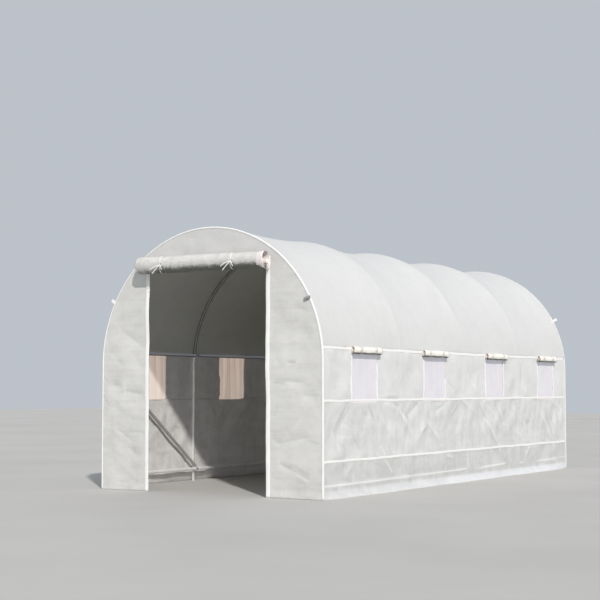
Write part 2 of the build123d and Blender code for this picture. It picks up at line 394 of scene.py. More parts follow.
@dataclass(frozen=True)
class InsectNet(Finish):
    """Fine insect net."""

    # glow: painted light let through the net; the next share stripes it like boards seen through the net
    glow: Colour
    boarded: float = 0.0
    mesh: float = 0.0032
    solid: float = 0.72
    slot = "window_net"

    def build(self, graph: Graph) -> Material:
        """Adds the net's nodes.

        Args:
            graph: The graph to add them to.

        Returns:
            The material.
        """
        sheet = graph.on_sheet()
        along, across, _ = graph.parts(sheet)
        threads = (along.wave(self.mesh) ** 3.0).larger(across.wave(self.mesh) ** 3.0)
        rows = along.wave(0.019) ** 6.0
        clouds = graph.noise(sheet, 4.0).step(0.35, 0.7)
        light = self.glow
        # Painted light through the net, in stripes like boards behind it
        if self.boarded:
            board_stripes = graph.noise(graph.stretched(sheet, 1.0, 0.03), 24.0, 3.0, 0.6).step(0.35, 0.7)
            light = graph.blend(board_stripes, self.glow, tuple((1 - self.boarded) * part for part in self.glow))
        return graph.surface(
            Base_Color=graph.blend(clouds * 0.5 + rows * 0.25, self.colour, self.shade),
            Roughness=clouds * 0.1 + 0.7,
            Alpha=threads * 0.2 + self.solid + rows * 0.08,
            Normal=graph.bump(threads + rows * 0.5, 0.0006, 0.5),
            Sheen_Weight=0.1,
            Emission_Color=light,
        )


@dataclass(frozen=True)
class RolledSheet(Finish):
    """Woven sheet that is rolled up, streaked along the roll, with painted shade below and a pale pinkish turned-out
    end that also carries painted light.
    """

    # Painted shade under the roll, then a pale pinkish colour for its turned-out end, also used as painted light on
    # the inner turns at its ends
    dark: Colour
    clean: Colour
    soiled_from: float = 0.38
    soiled_over: float = 0.42
    soiled_share: float = 0.9
    slot = "rolled_sheet"

    def build(self, graph: Graph) -> Material:
        """Adds the roll's nodes.

        Args:
            graph: The graph to add them to.

        Returns:
            The material.
        """
        sheet = graph.on_sheet()
        along, across, _ = graph.parts(sheet)
        streaks = graph.noise(graph.stretched(sheet, 0.09), 130.0, 4.0, 0.7)
        bands = graph.noise(graph.stretched(sheet, 1.0, 0.35), 13.0, 4.0, 0.65)
        pins = across.wave(0.0105) ** 3.0
        weft = along.wave(0.0062) ** 6.0
        painted_tones = graph.attribute("fold")
        # Painted shade towards the underside, with a ragged edge
        below = painted_tones.larger(0.0)
        shade_edge_speckle = graph.noise(sheet, 46.0, 3.0, 0.7)
        marks = (bands * 0.8 + shade_edge_speckle * 0.5 + streaks * 0.3 - 0.8) * (self.soiled_over / 0.42)
        painted_underside_shade = (painted_tones + marks).step(self.soiled_from, self.soiled_from + self.soiled_over)
        shade = streaks.step(0.40, 0.70) * 0.38 + bands.step(0.4, 0.7) * 0.32 + pins * 0.18 + below * 0.6
        colour = graph.blend(shade, self.colour, self.shade)
        colour = graph.blend(painted_underside_shade * self.soiled_share, colour, self.dark)
        # Pale pinkish turned-out end, and painted light on the inner turns at the ends
        colour = graph.blend((painted_tones * -1.0).larger(0.0), colour, self.clean)
        relief = streaks * 1.2 + pins * 0.5 + weft * 0.3 + bands * 1.5
        return graph.surface(
            Base_Color=colour,
            Roughness=streaks * 0.15 + 0.5,
            Normal=graph.bump(relief, 0.0012, 0.6),
            Sheen_Weight=0.08,
        )


@dataclass(frozen=True)
class TieRibbon(Finish):
    """Flat woven ribbon."""

    slot = "tie_cord"

    def build(self, graph: Graph) -> Material:
        """Adds the ribbon's nodes.

        Args:
            graph: The graph to add them to.

        Returns:
            The material.
        """
        sheet = graph.on_sheet()
        along, across, _ = graph.parts(sheet)
        ribs = along.wave(0.0021) * 0.5 + across.wave(0.0013) * 0.5
        grime = graph.noise(sheet, 45.0).step(0.45, 0.8)
        return graph.surface(
            Base_Color=graph.blend(ribs * 0.25 + grime * 0.3, self.colour, self.shade),
            Roughness=ribs * 0.12 + 0.6,
            Normal=graph.bump(ribs, 0.0004, 0.6),
            Sheen_Weight=0.15,
        )


@dataclass(frozen=True)
class TubeSteel(Finish):
    """Galvanised steel tube under light grey paint."""

    # high: the colour above high_from; glow and high_glow: painted light below and above it
    high: Colour
    rough: float = 0.36
    metal: float = 0.25
    glow: Colour = BLACK
    high_glow: Colour = BLACK
    high_from: float = 1.034
    slot = "frame_steel"

    def build(self, graph: Graph) -> Material:
        """Adds the steel's nodes.

        Args:
            graph: The graph to add them to.

        Returns:
            The material.
        """
        place = graph.on_object()
        spangle = graph.cells(place, 55.0).step(0.0, 0.35)
        streaks = graph.noise(graph.stretched(place, 6.0), 9.0, 5.0, 0.65)
        scuffs = graph.noise(place, 120.0, 4.0, 0.7).step(0.6, 0.75)
        shade = streaks.step(0.4, 0.75) * 0.5 + (1 - spangle) * 0.12 + scuffs * 0.3
        _, _, height = graph.parts(place)
        painted = graph.blend(shade, self.colour, self.shade)
        # Split at a height: painted light below and above it, and for the side rails painted shade below
        upper_part = height.step(self.high_from - 0.004, self.high_from + 0.004)
        return graph.surface(
            Emission_Color=graph.blend(upper_part, self.glow, self.high_glow),
            Base_Color=graph.blend(upper_part * 0.9, painted, self.high),
            Metallic=scuffs * 0.35 + self.metal,
            Roughness=streaks * 0.2 + (self.rough - 0.08) + scuffs * 0.1,
            Normal=graph.bump(spangle * 0.3 + scuffs, 0.0003, 0.4),
        )


@dataclass(frozen=True)
class MouldedPlastic(Finish):
    """Matt moulded plastic."""

    slot = "clamp_plastic"

    def build(self, graph: Graph) -> Material:
        """Adds the plastic's nodes.

        Args:
            graph: The graph to add them to.

        Returns:
            The material.
        """
        place = graph.on_object()
        grain = graph.noise(place, 420.0)
        clouds = graph.noise(place, 12.0, 4.0).step(0.35, 0.7)
        return graph.surface(
            Base_Color=graph.blend(clouds * 0.6 + grain * 0.2, self.colour, self.shade),
            Roughness=grain * 0.15 + 0.5,
            Normal=graph.bump(grain, 0.0004, 0.45),
        )


@dataclass(frozen=True)
class PlainFloor(Finish):
    """A plain pale floor."""

    def build(self, graph: Graph) -> Material:
        """Adds the floor's nodes.

        Args:
            graph: The graph to add them to.

        Returns:
            The material.
        """
        place = graph.on_object()
        clouds = graph.noise(place, 0.6, 5.0).step(0.3, 0.75)
        grain = graph.noise(place, 90.0, 4.0, 0.7)
        return graph.surface(
            Base_Color=graph.blend(clouds * 0.6 + grain * 0.25, self.colour, self.shade),
            Roughness=grain * 0.1 + 0.8,
            Normal=graph.bump(grain, 0.0008, 0.3),
            Specular=0.2,
        )


ROOF = WovenSheet("roof_sheet_outside", (0.682, 0.680, 0.672), (0.630, 0.628, 0.620), line_share=0.06)
BAND = WovenSheet(
    "window_band_outside", (0.765, 0.765, 0.755), (0.64, 0.64, 0.63), thread_share=0.15, line_share=0.08
)
COVER = WovenSheet("lower_wall_outside", (0.745, 0.745, 0.735), (0.555, 0.555, 0.545), hem=0.4, foot=0.42)
ENDS = WovenSheet(
    "end_sheet_outside", (0.705, 0.70, 0.68), (0.545, 0.54, 0.52), (0.80, 0.80, 0.78),
    hem=0.3, streaked=(0.05, 1.0), top=(0.575, 0.57, 0.57),
)
# The inside: painted crease tones, painted shade above the side rails and painted light let through the sheet
LINING = WovenSheet(
    "sheet_inside", (0.74, 0.73, 0.72), (0.54, 0.53, 0.525), (0.74, 0.74, 0.73), (0.42, 0.42, 0.41),
    upper=(0.49, 0.49, 0.475), glow=(0.013, 0.015, 0.011), low_glow=(0.024, 0.023, 0.023),
)
PIPING = SewnTape("edge_binding_tape", (0.90, 0.90, 0.875), (0.72, 0.72, 0.71), 0.003, 0.034)
BACK_PIPING = SewnTape("edge_binding_tape_back", (0.78, 0.78, 0.77), (0.64, 0.64, 0.64), 0.003, 0.034)
SEAM = SewnTape("seam_tape", (0.88, 0.88, 0.86), (0.72, 0.72, 0.70), 0.0025, 0.018)
DOOR_TAPE = SewnTape("door_tape", (0.90, 0.90, 0.88), (0.70, 0.70, 0.69), 0.004, 0.034)
TRIM = SewnTape("window_trim_tape", (0.90, 0.89, 0.90), (0.78, 0.77, 0.79), 0.002, 0.019)
SILL = SewnTape("window_sill_tape", (0.83, 0.79, 0.78), (0.74, 0.70, 0.70), 0.002, 0.016)
WEBBING = SewnTape("loop_webbing", (0.90, 0.90, 0.90), (0.6, 0.6, 0.6), 0.003, 0.024)
# Dark grey webbing: painted shade for the folded loop that lies in shade
SHADED_LOOP = SewnTape("loop_webbing_grey", (0.30, 0.30, 0.30), (0.12, 0.12, 0.12), 0.003, 0.024)
# Nets: painted light let through them, striped on the inside like boards seen through it
NET = InsectNet("window_net_mesh", (0.735, 0.695, 0.715), (0.655, 0.615, 0.645), (0.08, 0.115, 0.155))
NET_INSIDE = InsectNet(
    "window_net_inside", (0.60, 0.575, 0.57), (0.50, 0.475, 0.47), (0.46, 0.355, 0.285), boarded=0.42, solid=0.80
)
# Rolled sheets: painted shade under the roll, and a pale pinkish end with painted light on it
DOOR_CLOTH = RolledSheet(
    "rolled_door_sheet", (0.71, 0.69, 0.67), (0.42, 0.42, 0.385), (0.085, 0.090, 0.076), (0.80, 0.74, 0.72)
)
FLAP_CLOTH = RolledSheet(
    "rolled_flap_sheet", (0.95, 0.925, 0.86), (0.80, 0.77, 0.70), (0.05, 0.05, 0.055), (0.80, 0.74, 0.70), 0.69, 0.14
)
RIBBON = TieRibbon("tie_ribbon", (0.93, 0.93, 0.92), (0.70, 0.70, 0.70))
FLAP_RIBBON = TieRibbon("flap_ribbon", (0.74, 0.72, 0.68), (0.48, 0.46, 0.43))
# Tubes: painted light on the hoops' legs and on the ground rails
STEEL = TubeSteel(
    "painted_tube", (0.90, 0.89, 0.88), (0.70, 0.70, 0.70), (0.30, 0.30, 0.28), 0.22, 0.55, glow=(0.05, 0.045, 0.045)
)
# Side rails: the lower half painted dark as painted shade, the upper half lighter with painted light
RAIL = TubeSteel(
    "rail_tube", (0.10, 0.10, 0.10), (0.06, 0.06, 0.06), (0.46, 0.46, 0.49),
    metal=0.12, high_glow=(0.080, 0.083, 0.096), high_from=1.0445,
)
GROUND_RAIL = TubeSteel(
    "ground_rail_tube", (0.80, 0.80, 0.80), (0.60, 0.60, 0.60), (0.30, 0.30, 0.28),
    metal=0.15, glow=(0.012, 0.014, 0.016),
)
BRACE = TubeSteel("brace_tube", (0.40, 0.385, 0.375), (0.28, 0.27, 0.265), (0.28, 0.27, 0.26), metal=0.15)
ZINC = TubeSteel("zinc_bolt", (0.55, 0.55, 0.56), (0.36, 0.36, 0.37), (0.3, 0.3, 0.3), 0.3, 0.8)
CLIP = MouldedPlastic("moulded_clip", (0.52, 0.53, 0.54), (0.42, 0.43, 0.44))
FLOOR = PlainFloor("pale_floor", (0.52, 0.51, 0.495), (0.45, 0.44, 0.425))


# Numbers


def stacked(*numbers: Array) -> Array:
    """Arrays whose shapes match, as one array with their numbers side by side."""
    return np.stack(np.broadcast_arrays(*numbers), axis=-1)


def bell(away: Array, width: float) -> Array:
    """A smooth hump: 1 at a distance of 0, and next to nothing beyond twice its width."""
    return np.exp(-((away / width) ** 2))


def unit(vectors: Array) -> Array:
    """Vectors made 1 long."""
    return vectors / np.linalg.norm(vectors, axis=-1, keepdims=True)


def distances(path: Array) -> Array:
    """How far along a path each of its points is."""
    return np.concatenate([[0], np.cumsum(np.linalg.norm(np.diff(path, axis=0), axis=1))])


def spread(breaks: Sequence[float], step: float) -> Array:
    """Numbers that pass through each of some breaks, with steps of about one size between them.

    Args:
        breaks: The numbers that have to be there, in order.
        step: The largest step.

    Returns:
        The numbers.
    """
    runs = []
    for low, high in zip(breaks, breaks[1:]):
        count = max(1, math.ceil(abs(high - low) / step))
        runs.append(np.linspace(low, high, count, endpoint=False))
    return np.concatenate([*runs, [breaks[-1]]])


# Meshes


def clear_selection() -> None:
    """Leaves edit mode and deselects everything."""
    if bpy.context.mode != "OBJECT":
        bpy.ops.object.mode_set(mode="OBJECT")
    bpy.ops.object.select_all(action="DESELECT")


def take(piece: Piece) -> None:
    """Makes a piece the only selected one, and the active one.

    Args:
        piece: The piece.
    """
    clear_selection()
    piece.select_set(True)
    bpy.context.view_layer.objects.active = piece


def settle(piece: Piece) -> None:
    """Moves a piece's place and turn into its mesh, so that its object sits at the origin."""
    take(piece)
    bpy.ops.object.transform_apply(location=True, rotation=True, scale=True)


def finish_with(piece: Piece, kind: str, **settings: object) -> None:
    """Adds a modifier and applies it.

    Args:
        piece: The piece.
        kind: The modifier's type.
        settings: The modifier's settings.
    """
    take(piece)
    modifier = piece.modifiers.new(kind.lower(), kind)
    for name, value in settings.items():
        setattr(modifier, name, value)
    bpy.ops.object.modifier_apply(modifier=modifier.name)


def bevelled(piece: Piece, width: float) -> None:
    """Rounds a piece's sharp edges."""
    finish_with(piece, "BEVEL", width=width, segments=2, limit_method="ANGLE")


def dress(piece: Piece, finish: Finish, *nodes: str) -> None:
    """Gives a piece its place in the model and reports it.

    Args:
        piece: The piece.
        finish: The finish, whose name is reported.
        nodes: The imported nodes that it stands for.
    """
    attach(piece, "root")
    if nodes:
        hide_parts(*nodes)
    log.info("%s: %d faces, %s", piece.name, len(piece.data.polygons), finish.name)


def mesh_piece(
    name: str,
    points: Array,
    faces: Array,
    places: Array,
    finishes: Sequence[Finish],
    fold: Array | None,
) -> Piece:
    """Makes a smooth piece from points and faces.

    Args:
        name: The piece's name.
        points: Its points.
        faces: The points of each face.
        places: Each point's place on the flat cut.
        finishes: Its materials.
        fold: How much painted light or painted shade each point carries, from -1 to 1.

    Returns:
        The piece.
    """
    mesh = bpy.data.meshes.new(name)
    mesh.from_pydata(points.tolist(), [], faces.tolist())
    mesh.polygons.foreach_set("use_smooth", np.ones(len(mesh.polygons), dtype=bool))
    corners = np.empty(len(mesh.loops), dtype=np.int64)
    mesh.loops.foreach_get("vertex_index", corners)
    layer = mesh.uv_layers.new(name="flat")
    layer.data.foreach_set("uv", places[corners].ravel())
    marks = mesh.attributes.new("fold", "FLOAT", "POINT")
    marks.data.foreach_set("value", np.zeros(len(points)) if fold is None else fold.ravel())
    for finish in finishes:
        mesh.materials.append(finish.material())
    piece = bpy.data.objects.new(name, mesh)
    bpy.context.collection.objects.link(piece)
    return piece


@dataclass
class SheetGrid:
    """A sheet as rows and columns of points, with the cells that are kept where some are cut away."""

    points: Array
    places: Array
    outward: Array
    fold: Array | None = None
    keep: Array | None = None

    def piece(self, name: str, thickness: float, *finishes: Finish) -> Piece:
        """Makes the sheet, with its thickness behind its outer face.

        Args:
            name: The piece's name.
            thickness: The sheet's thickness.
            finishes: The finish outside, and the one inside where it differs.

        Returns:
            The piece.
        """
        rows, columns = self.points.shape[:2]
        index = np.arange(rows * columns).reshape(rows, columns)
        keep = np.ones((rows - 1, columns - 1), dtype=bool) if self.keep is None else self.keep
        faces = stacked(index[:-1, :-1], index[1:, :-1], index[1:, 1:], index[:-1, 1:])[keep]
        flat = self.points.reshape(-1, 3)
        first, second, third = (flat[faces[:, i]] for i in range(3))
        facing = np.cross(second - first, third - first)
        if (facing * self.outward[:-1, :-1][keep]).sum() < 0:
            faces = faces[:, ::-1]
        used = np.unique(faces)
        renumber = np.full(len(flat), -1)
        renumber[used] = np.arange(len(used))
        fold = None if self.fold is None else self.fold.reshape(-1)[used]
        places = self.places.reshape(-1, 2)[used]
        piece = mesh_piece(name, flat[used], renumber[faces], places, finishes, fold)
        finish_with(piece, "SOLIDIFY", thickness=thickness, offset=-1, material_offset=len(finishes) - 1)
        return piece


def strap(
    name: str, path: Array, outward: Array, width: float, thickness: float, finish: Finish, crown: float = 0.0
) -> Piece:
    """A flat strap or tape along a path.

    Args:
        name: The piece's name.
        path: The points along its middle.
        outward: The direction away from what it lies on, at each point.
        width: Its width.
        thickness: Its thickness.
        finish: Its finish.
        crown: How much its middle stands proud of its edges.

    Returns:
        The piece.
    """
    sideways = unit(np.cross(unit(np.gradient(path, axis=0)), outward))
    shares = np.array([-1, -0.9, -0.5, 0, 0.5, 0.9, 1])
    lifts = crown * (1 - shares**2) + thickness
    points = path[:, None] + sideways[:, None] * shares[None, :, None] * width / 2
    points = points + outward[:, None] * lifts[None, :, None]
    places = stacked(distances(path)[:, None], shares[None] * width / 2)
    facing = np.broadcast_to(outward[:, None], points.shape)
    return SheetGrid(points, places, facing).piece(name, thickness, finish)


def joined(name: str, pieces: Sequence[Piece]) -> Piece:
    """Joins pieces into one.

    Args:
        name: The name of the piece that they become.
        pieces: The pieces.

    Returns:
        The piece.
    """
    clear_selection()
    for piece in pieces:
        piece.select_set(True)
    bpy.context.view_layer.objects.active = pieces[0]
    if len(pieces) > 1:
        bpy.ops.object.join()
    pieces[0].name = name
    pieces[0].data.name = name
    return pieces[0]


def copied(model: Piece, places: Sequence[Matrix]) -> list[Piece]:
    """Copies a piece, each copy with its own mesh, and removes the first one.

    Args:
        model: The piece, at the origin.
        places: Where the copies go.

    Returns:
        The copies.
    """
    made = []
    for place in places:
        copy = model.copy()
        copy.data = model.data.copy()
        copy.data.transform(place)
        bpy.context.collection.objects.link(copy)
        made.append(copy)
    bpy.data.objects.remove(model)
    return made


# The tunnel's shape


WINDOW_HALF = 0.180
WINDOW_SHIFTS = (0, -0.018, -0.006, 0.014)
NET_LAP = 0.008
TAPE_HALF = 0.009
SHEET_INSET = 0.0008  # how far inside the solids' outer faces the sheets lie


@dataclass(frozen=True)
class TunnelPlan:
    """The tunnel's main sizes and places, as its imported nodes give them."""

    front: float
    back: float
    radius: float
    spring: float
    hem: float
    flare: float
    lower_seam: float
    window_seam: float
    roof_seam: float
    tube: float
    hoops: tuple[float, ...]
    windows: tuple[float, ...]
    window_half: float
    door_half: float
    door_top: float
    rail: float
    side_rail: float
    ground_rail: float
    ridge_rail: float
    sags: tuple[float, ...] = (0.022, 0.040, 0.042, 0.034)

    @classmethod
    def from_frame(cls) -> TunnelPlan:
        """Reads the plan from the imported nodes' boxes.

        Returns:
            The plan.
        """
        legs_low, legs_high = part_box("hoop_legs")
        ridge_low, ridge_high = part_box("ridge_rail")
        tube = (ridge_high.x - ridge_low.x) / 2
        first, last = legs_low.y + tube, legs_high.y - tube
        hoops = tuple(float(y) for y in np.linspace(first, last, 5))
        nets_low, nets_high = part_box("window_nets_right")
        band_low, band_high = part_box("window_band_right")
        _, hem_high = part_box("hem_right")
        tapes_low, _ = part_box("wall_tapes_right")
        door_low, door_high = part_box("front_panel_over_door")
        ground_low, ground_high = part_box("ground_rail_right")
        rail_low, rail_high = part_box("side_rail_right")
        reach = WINDOW_HALF + NET_LAP
        windows = np.linspace(nets_low.y + reach, nets_high.y - reach, 4) + WINDOW_SHIFTS
        return cls(
            front=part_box("front_panel_left")[0].y,
            back=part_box("back_panel")[1].y,
            radius=band_high.x,
            spring=legs_high.z,
            hem=hem_high.z,
            flare=hem_high.x - band_high.x,
            lower_seam=tapes_low.z + TAPE_HALF,
            window_seam=band_low.z,
            roof_seam=band_high.z,
            tube=tube,
            hoops=hoops,
            windows=tuple(float(y) for y in windows),
            window_half=WINDOW_HALF,
            door_half=door_high.x,
            door_top=door_low.z,
            rail=(ground_low.x + ground_high.x) / 2,
            side_rail=(rail_low.z + rail_high.z) / 2,
            ground_rail=(ground_low.z + ground_high.z) / 2,
            ridge_rail=(ridge_low.z + ridge_high.z) / 2,
        )

    @property
    def seam_angle(self) -> float:
        """The angle above the spring line at which the roof meets the walls."""
        return math.asin((self.roof_seam - self.spring) / self.radius)

    @property
    def seam_level(self) -> float:
        """How far the roof seam is from the ground, along the wall."""
        return self.spring + self.seam_angle * self.radius

    @property
    def hoop_radius(self) -> float:
        """The radius of the middle of a hoop."""
        return self.radius - 0.003 - self.tube

    def on_arch(self, y: float, angle: float, radius: float) -> Matrix:
        """The place and turn of something round an arch, whose own x then points outwards.

        Args:
            y: The arch's place along the tunnel.
            angle: The angle round the arch, from the right spring line.
            radius: The distance from the arch's centre.

        Returns:
            The matrix.
        """
        lean = Matrix.Rotation(-angle, 4, "Y")
        return Matrix.Translation((0, y, self.spring)) @ lean @ Matrix.Translation((radius, 0, 0))

    def off_hoops(self, y: Array, reach: float) -> Array:
        """How free the sheet is of the hoops: 0 at a hoop, near 1 at some distance from it.

        Args:
            y: Places along the tunnel.
            reach: How far a hoop's hold on the sheet reaches.

        Returns:
            The freedom at each place.
        """
        free = np.ones_like(y)
        for hoop in self.hoops:
            free = free * (1 - bell(y - hoop, reach))
        return free


@dataclass(frozen=True)
class Crease:
    """A crease in a sheet: a ridge or, with a height below 0, a valley, between two tilted facets."""

    start: tuple[float, float]
    end: tuple[float, float]
    height: float = 0.004
    width: float = 0.05
    # line and sides: painted tone of a thin line along the crease and of its two facets, one side lighter and the
    # other darker; above 0 is lighter
    line: float = 0.0
    sides: float = 0.0

    def reversed(self, middle: float) -> Crease:
        """The crease as it lies on a sheet that is seen from its other side.

        Args:
            middle: The sum of the sheet's lowest and highest first number.

        Returns:
            The crease.
        """
        start, end = ((middle - a, b) for a, b in (self.start, self.end))
        return Crease(start, end, self.height, self.width, self.line, -self.sides)

    def across(self, a: Array, b: Array) -> tuple[Array, Array]:
        """How far places on the sheet are from the crease, and how much of it there is beside them.

        Args:
            a: The places' first numbers.
            b: The places' second numbers.

        Returns:
            The distances, with a sign for the side, and values from 0 at both ends to 1 at the middle.
        """
        run = np.subtract(self.end, self.start)
        length = float(np.hypot(*run))
        along = ((a - self.start[0]) * run[0] + (b - self.start[1]) * run[1]) / length**2
        away = ((a - self.start[0]) * run[1] - (b - self.start[1]) * run[0]) / length
        inside = np.clip(along, 0, 1)
        return away, np.sqrt(np.sin(np.pi * inside)) * ((along > 0) & (along < 1))

    def lift(self, a: Array, b: Array) -> Array:
        """How far the crease lifts the sheet, with the arguments of across."""
        away, share = self.across(a, b)
        return self.height * share * np.clip(1 - np.abs(away) / self.width, 0, 1)

    def tone(self, a: Array, b: Array) -> Array:
        """How much lighter or darker the crease's painted highlight and painted shade make the sheet.

        Args:
            a: The places' first numbers.
            b: The places' second numbers.

        Returns:
            The tones, above 0 where it is lighter.
        """
        away, share = self.across(a, b)
        facets = self.sides * np.tanh(away / 0.006) * np.clip(1 - np.abs(away) / self.width, 0, 1)
        return share * (self.line * bell(away, 0.0075) + facets)


@dataclass(frozen=True)
class Relief:
    """The slack and the creases of a sheet that hangs loose."""

    creases: tuple[Crease, ...] = ()
    slack: float = 0.004
    seed: int = 1
    longest: float = 0.55
    shortest: float = 0.09
    waves: int = 16

    def height(self, a: Array, b: Array) -> Array:
        """How far the sheet stands out at places on it.

        Args:
            a: The places' first numbers.
            b: The places' second numbers.

        Returns:
            The heights.
        """
        draw = np.random.default_rng(self.seed)
        a, b = np.broadcast_arrays(a, b)
        bent_a = a + 0.11 * self.longest * np.sin(2 * np.pi * b / (1.3 * self.longest) + self.seed)
        bent_b = b + 0.13 * self.longest * np.sin(2 * np.pi * a / (1.7 * self.longest) + 2 * self.seed)
        total = np.zeros(a.shape)
        for _ in range(self.waves):
            length = self.shortest * (self.longest / self.shortest) ** draw.random()
            turn, phase = draw.random(2) * 2 * np.pi
            wave = np.sin(2 * np.pi * (bent_a * np.cos(turn) + bent_b * np.sin(turn)) / length + phase)
            total = total + np.arcsin(0.985 * wave) * 0.6 * length / self.longest
        total = total * self.slack / math.sqrt(self.waves) * 2
        for crease in self.creases:
            total = total + crease.lift(a, b)
        return total

    def fold(self, a: Array, b: Array) -> Array:
        """How much lighter or darker the creases' painted highlight and painted shade make the sheet.

        Args:
            a: The places' first numbers.
            b: The places' second numbers.

        Returns:
            The tones, from -1 to 1.
        """
        total = np.zeros(np.broadcast(a, b).shape)
        for crease in self.creases:
            total = total + crease.tone(a, b)
        return np.clip(total, -1, 1)


# Each crease is in metres along the tunnel and up the wall
WALL_CREASES = (
    Crease((-1.84, 0.680), (-2.03, 0.500), 0.004, 0.05, -0.45, -0.12),
    Crease((-2.07, 0.470), (-2.02, 0.400), 0.003, 0.03, 0.45),
    Crease((-1.58, 0.640), (-1.47, 0.450), 0.004, 0.05, 0.25, -0.10),
    Crease((-1.56, 0.665), (-1.44, 0.520), -0.003, 0.04, -0.50),
    Crease((-1.42, 0.600), (-1.16, 0.390), 0.004, 0.07, 0.10, -0.14),
    Crease((-1.38, 0.676), (-1.05, 0.620), 0.005, 0.05, 0.35, 0.16),
    Crease((-1.10, 0.640), (-1.00, 0.540), 0.006, 0.06, 0.40, -0.20),
    Crease((-1.04, 0.580), (-0.84, 0.390), 0.006, 0.06, 0.50, -0.12),
    Crease((-0.96, 0.550), (-0.72, 0.675), -0.006, 0.06, 0.30, 0.26),
    Crease((-1.20, 0.675), (-0.93, 0.540), -0.005, 0.05, -0.15, 0.22),
    Crease((-0.97, 0.570), (-0.93, 0.535), 0.0, 0.02, -0.80),
    Crease((-0.50, 0.590), (-0.30, 0.650), -0.004, 0.04, -0.45, 0.08),
    Crease((-0.74, 0.440), (-0.63, 0.490), 0.004, 0.03, 0.65),
    Crease((-0.64, 0.520), (-0.38, 0.345), 0.006, 0.09, 0.35, -0.22),
    Crease((-0.66, 0.500), (-0.80, 0.340), 0.004, 0.07, 0.10, 0.14),
    Crease((-1.042, 0.440), (-1.042, 0.290), 0.003, 0.05, 0.0, -0.16),
    Crease((-1.37, 0.350), (-1.28, 0.260), 0.004, 0.025, 0.60),
    Crease((-1.45, 0.300), (-1.38, 0.265), 0.003, 0.02, 0.45),
    Crease((-1.18, 0.300), (-1.12, 0.275), 0.003, 0.02, 0.40),
    Crease((-1.31, 0.250), (-1.17, 0.130), 0.004, 0.03, 0.55),
    Crease((-1.76, 0.245), (-1.88, 0.150), 0.003, 0.05, 0.10, 0.16),
    Crease((-2.02, 0.440), (-1.74, 0.415), 0.003, 0.04, 0.30, 0.12),
    Crease((-1.78, 0.420), (-1.66, 0.330), -0.003, 0.05, -0.20, 0.16),
    Crease((-1.70, 0.330), (-1.56, 0.400), -0.003, 0.05, -0.25, -0.12),
    Crease((-2.00, 0.400), (-1.86, 0.330), -0.003, 0.04, -0.25),
    Crease((-1.92, 0.520), (-1.80, 0.480), 0.003, 0.05, 0.15, 0.14),
    Crease((0.010, 0.668), (-0.250, 0.510), -0.005, 0.07, -0.45, 0.16),
    Crease((0.010, 0.668), (0.110, 0.610), -0.004, 0.05, -0.50, -0.14),
    Crease((0.100, 0.640), (0.280, 0.560), 0.004, 0.06, 0.20, -0.14),
    Crease((0.280, 0.560), (0.480, 0.330), 0.004, 0.08, 0.10, -0.12),
    Crease((0.470, 0.510), (0.740, 0.275), 0.006, 0.08, 0.50, -0.30),
    Crease((0.340, 0.655), (0.570, 0.470), -0.005, 0.05, -0.35, -0.14),
    Crease((0.570, 0.480), (0.710, 0.350), -0.004, 0.05, -0.25),
    Crease((0.440, 0.668), (0.640, 0.560), 0.005, 0.05, 0.35, 0.10),
    Crease((0.620, 0.580), (0.770, 0.420), 0.005, 0.05, 0.40, -0.10),
    Crease((0.670, 0.668), (0.850, 0.440), -0.004, 0.04, -0.40, -0.10),
    Crease((0.840, 0.530), (0.920, 0.590), -0.003, 0.04, -0.45),
    Crease((0.820, 0.465), (0.880, 0.450), 0.003, 0.02, 0.55),
    Crease((0.960, 0.440), (1.230, 0.330), -0.005, 0.08, -0.10, -0.20),
    Crease((0.930, 0.600), (1.120, 0.520), 0.004, 0.06, 0.10, 0.14),
    Crease((1.200, 0.510), (1.400, 0.380), 0.004, 0.05, 0.25, -0.12),
    Crease((1.340, 0.440), (1.440, 0.470), -0.003, 0.03, -0.45),
    Crease((1.560, 0.640), (1.500, 0.450), 0.004, 0.05, 0.15, 0.12),
    Crease((1.600, 0.620), (1.940, 0.290), 0.005, 0.06, 0.25, -0.20),
    Crease((1.770, 0.630), (2.030, 0.280), -0.004, 0.05, -0.35, -0.14),
    Crease((1.900, 0.620), (2.120, 0.300), 0.004, 0.05, 0.25, -0.12),
    Crease((1.960, 0.665), (2.250, 0.560), 0.005, 0.05, 0.30, 0.14),
    Crease((2.050, 0.600), (2.240, 0.350), -0.003, 0.05, -0.20, -0.12),
    Crease((0.340, 0.252), (0.410, 0.195), 0.003, 0.03, 0.35),
    Crease((0.760, 0.252), (0.800, 0.225), 0.003, 0.02, 0.45),
    Crease((1.170, 0.250), (1.200, 0.190), 0.003, 0.03, 0.40),
    Crease((1.440, 0.250), (1.330, 0.160), 0.004, 0.04, 0.40, 0.10),
    Crease((1.980, 0.250), (2.080, 0.155), 0.004, 0.03, 0.40),
    Crease((-0.290, 0.235), (-0.120, 0.205), 0.005, 0.04, 0.40),
    Crease((0.120, 0.250), (0.150, 0.120), 0.003, 0.04, -0.15, 0.12),
    Crease((0.980, 0.250), (1.010, 0.120), 0.003, 0.05, 0.10, 0.12),
    Crease((-1.390, 0.700), (-1.080, 0.712), 0.003, 0.03, -0.30),
    Crease((-1.300, 0.730), (-1.060, 0.860), 0.003, 0.05, 0.0, 0.10),
    Crease((-0.270, 0.840), (-0.140, 0.775), 0.004, 0.05, -0.25, 0.10),
    Crease((-0.200, 0.740), (0.020, 0.820), 0.003, 0.05, 0.20, 0.10),
    Crease((0.190, 0.820), (0.310, 0.740), 0.004, 0.05, 0.25, -0.10),
    Crease((0.320, 0.920), (0.260, 0.720), 0.003, 0.05, 0.0, 0.12),
    Crease((1.225, 1.010), (1.255, 0.800), -0.004, 0.04, -0.45, 0.06),
    Crease((0.920, 0.740), (1.100, 0.860), 0.003, 0.05, -0.20, 0.10),
    Crease((1.400, 0.700), (1.200, 0.800), 0.003, 0.05, 0.0, 0.10),
    Crease((2.020, 0.740), (2.200, 0.900), 0.003, 0.05, 0.20, 0.10),
)
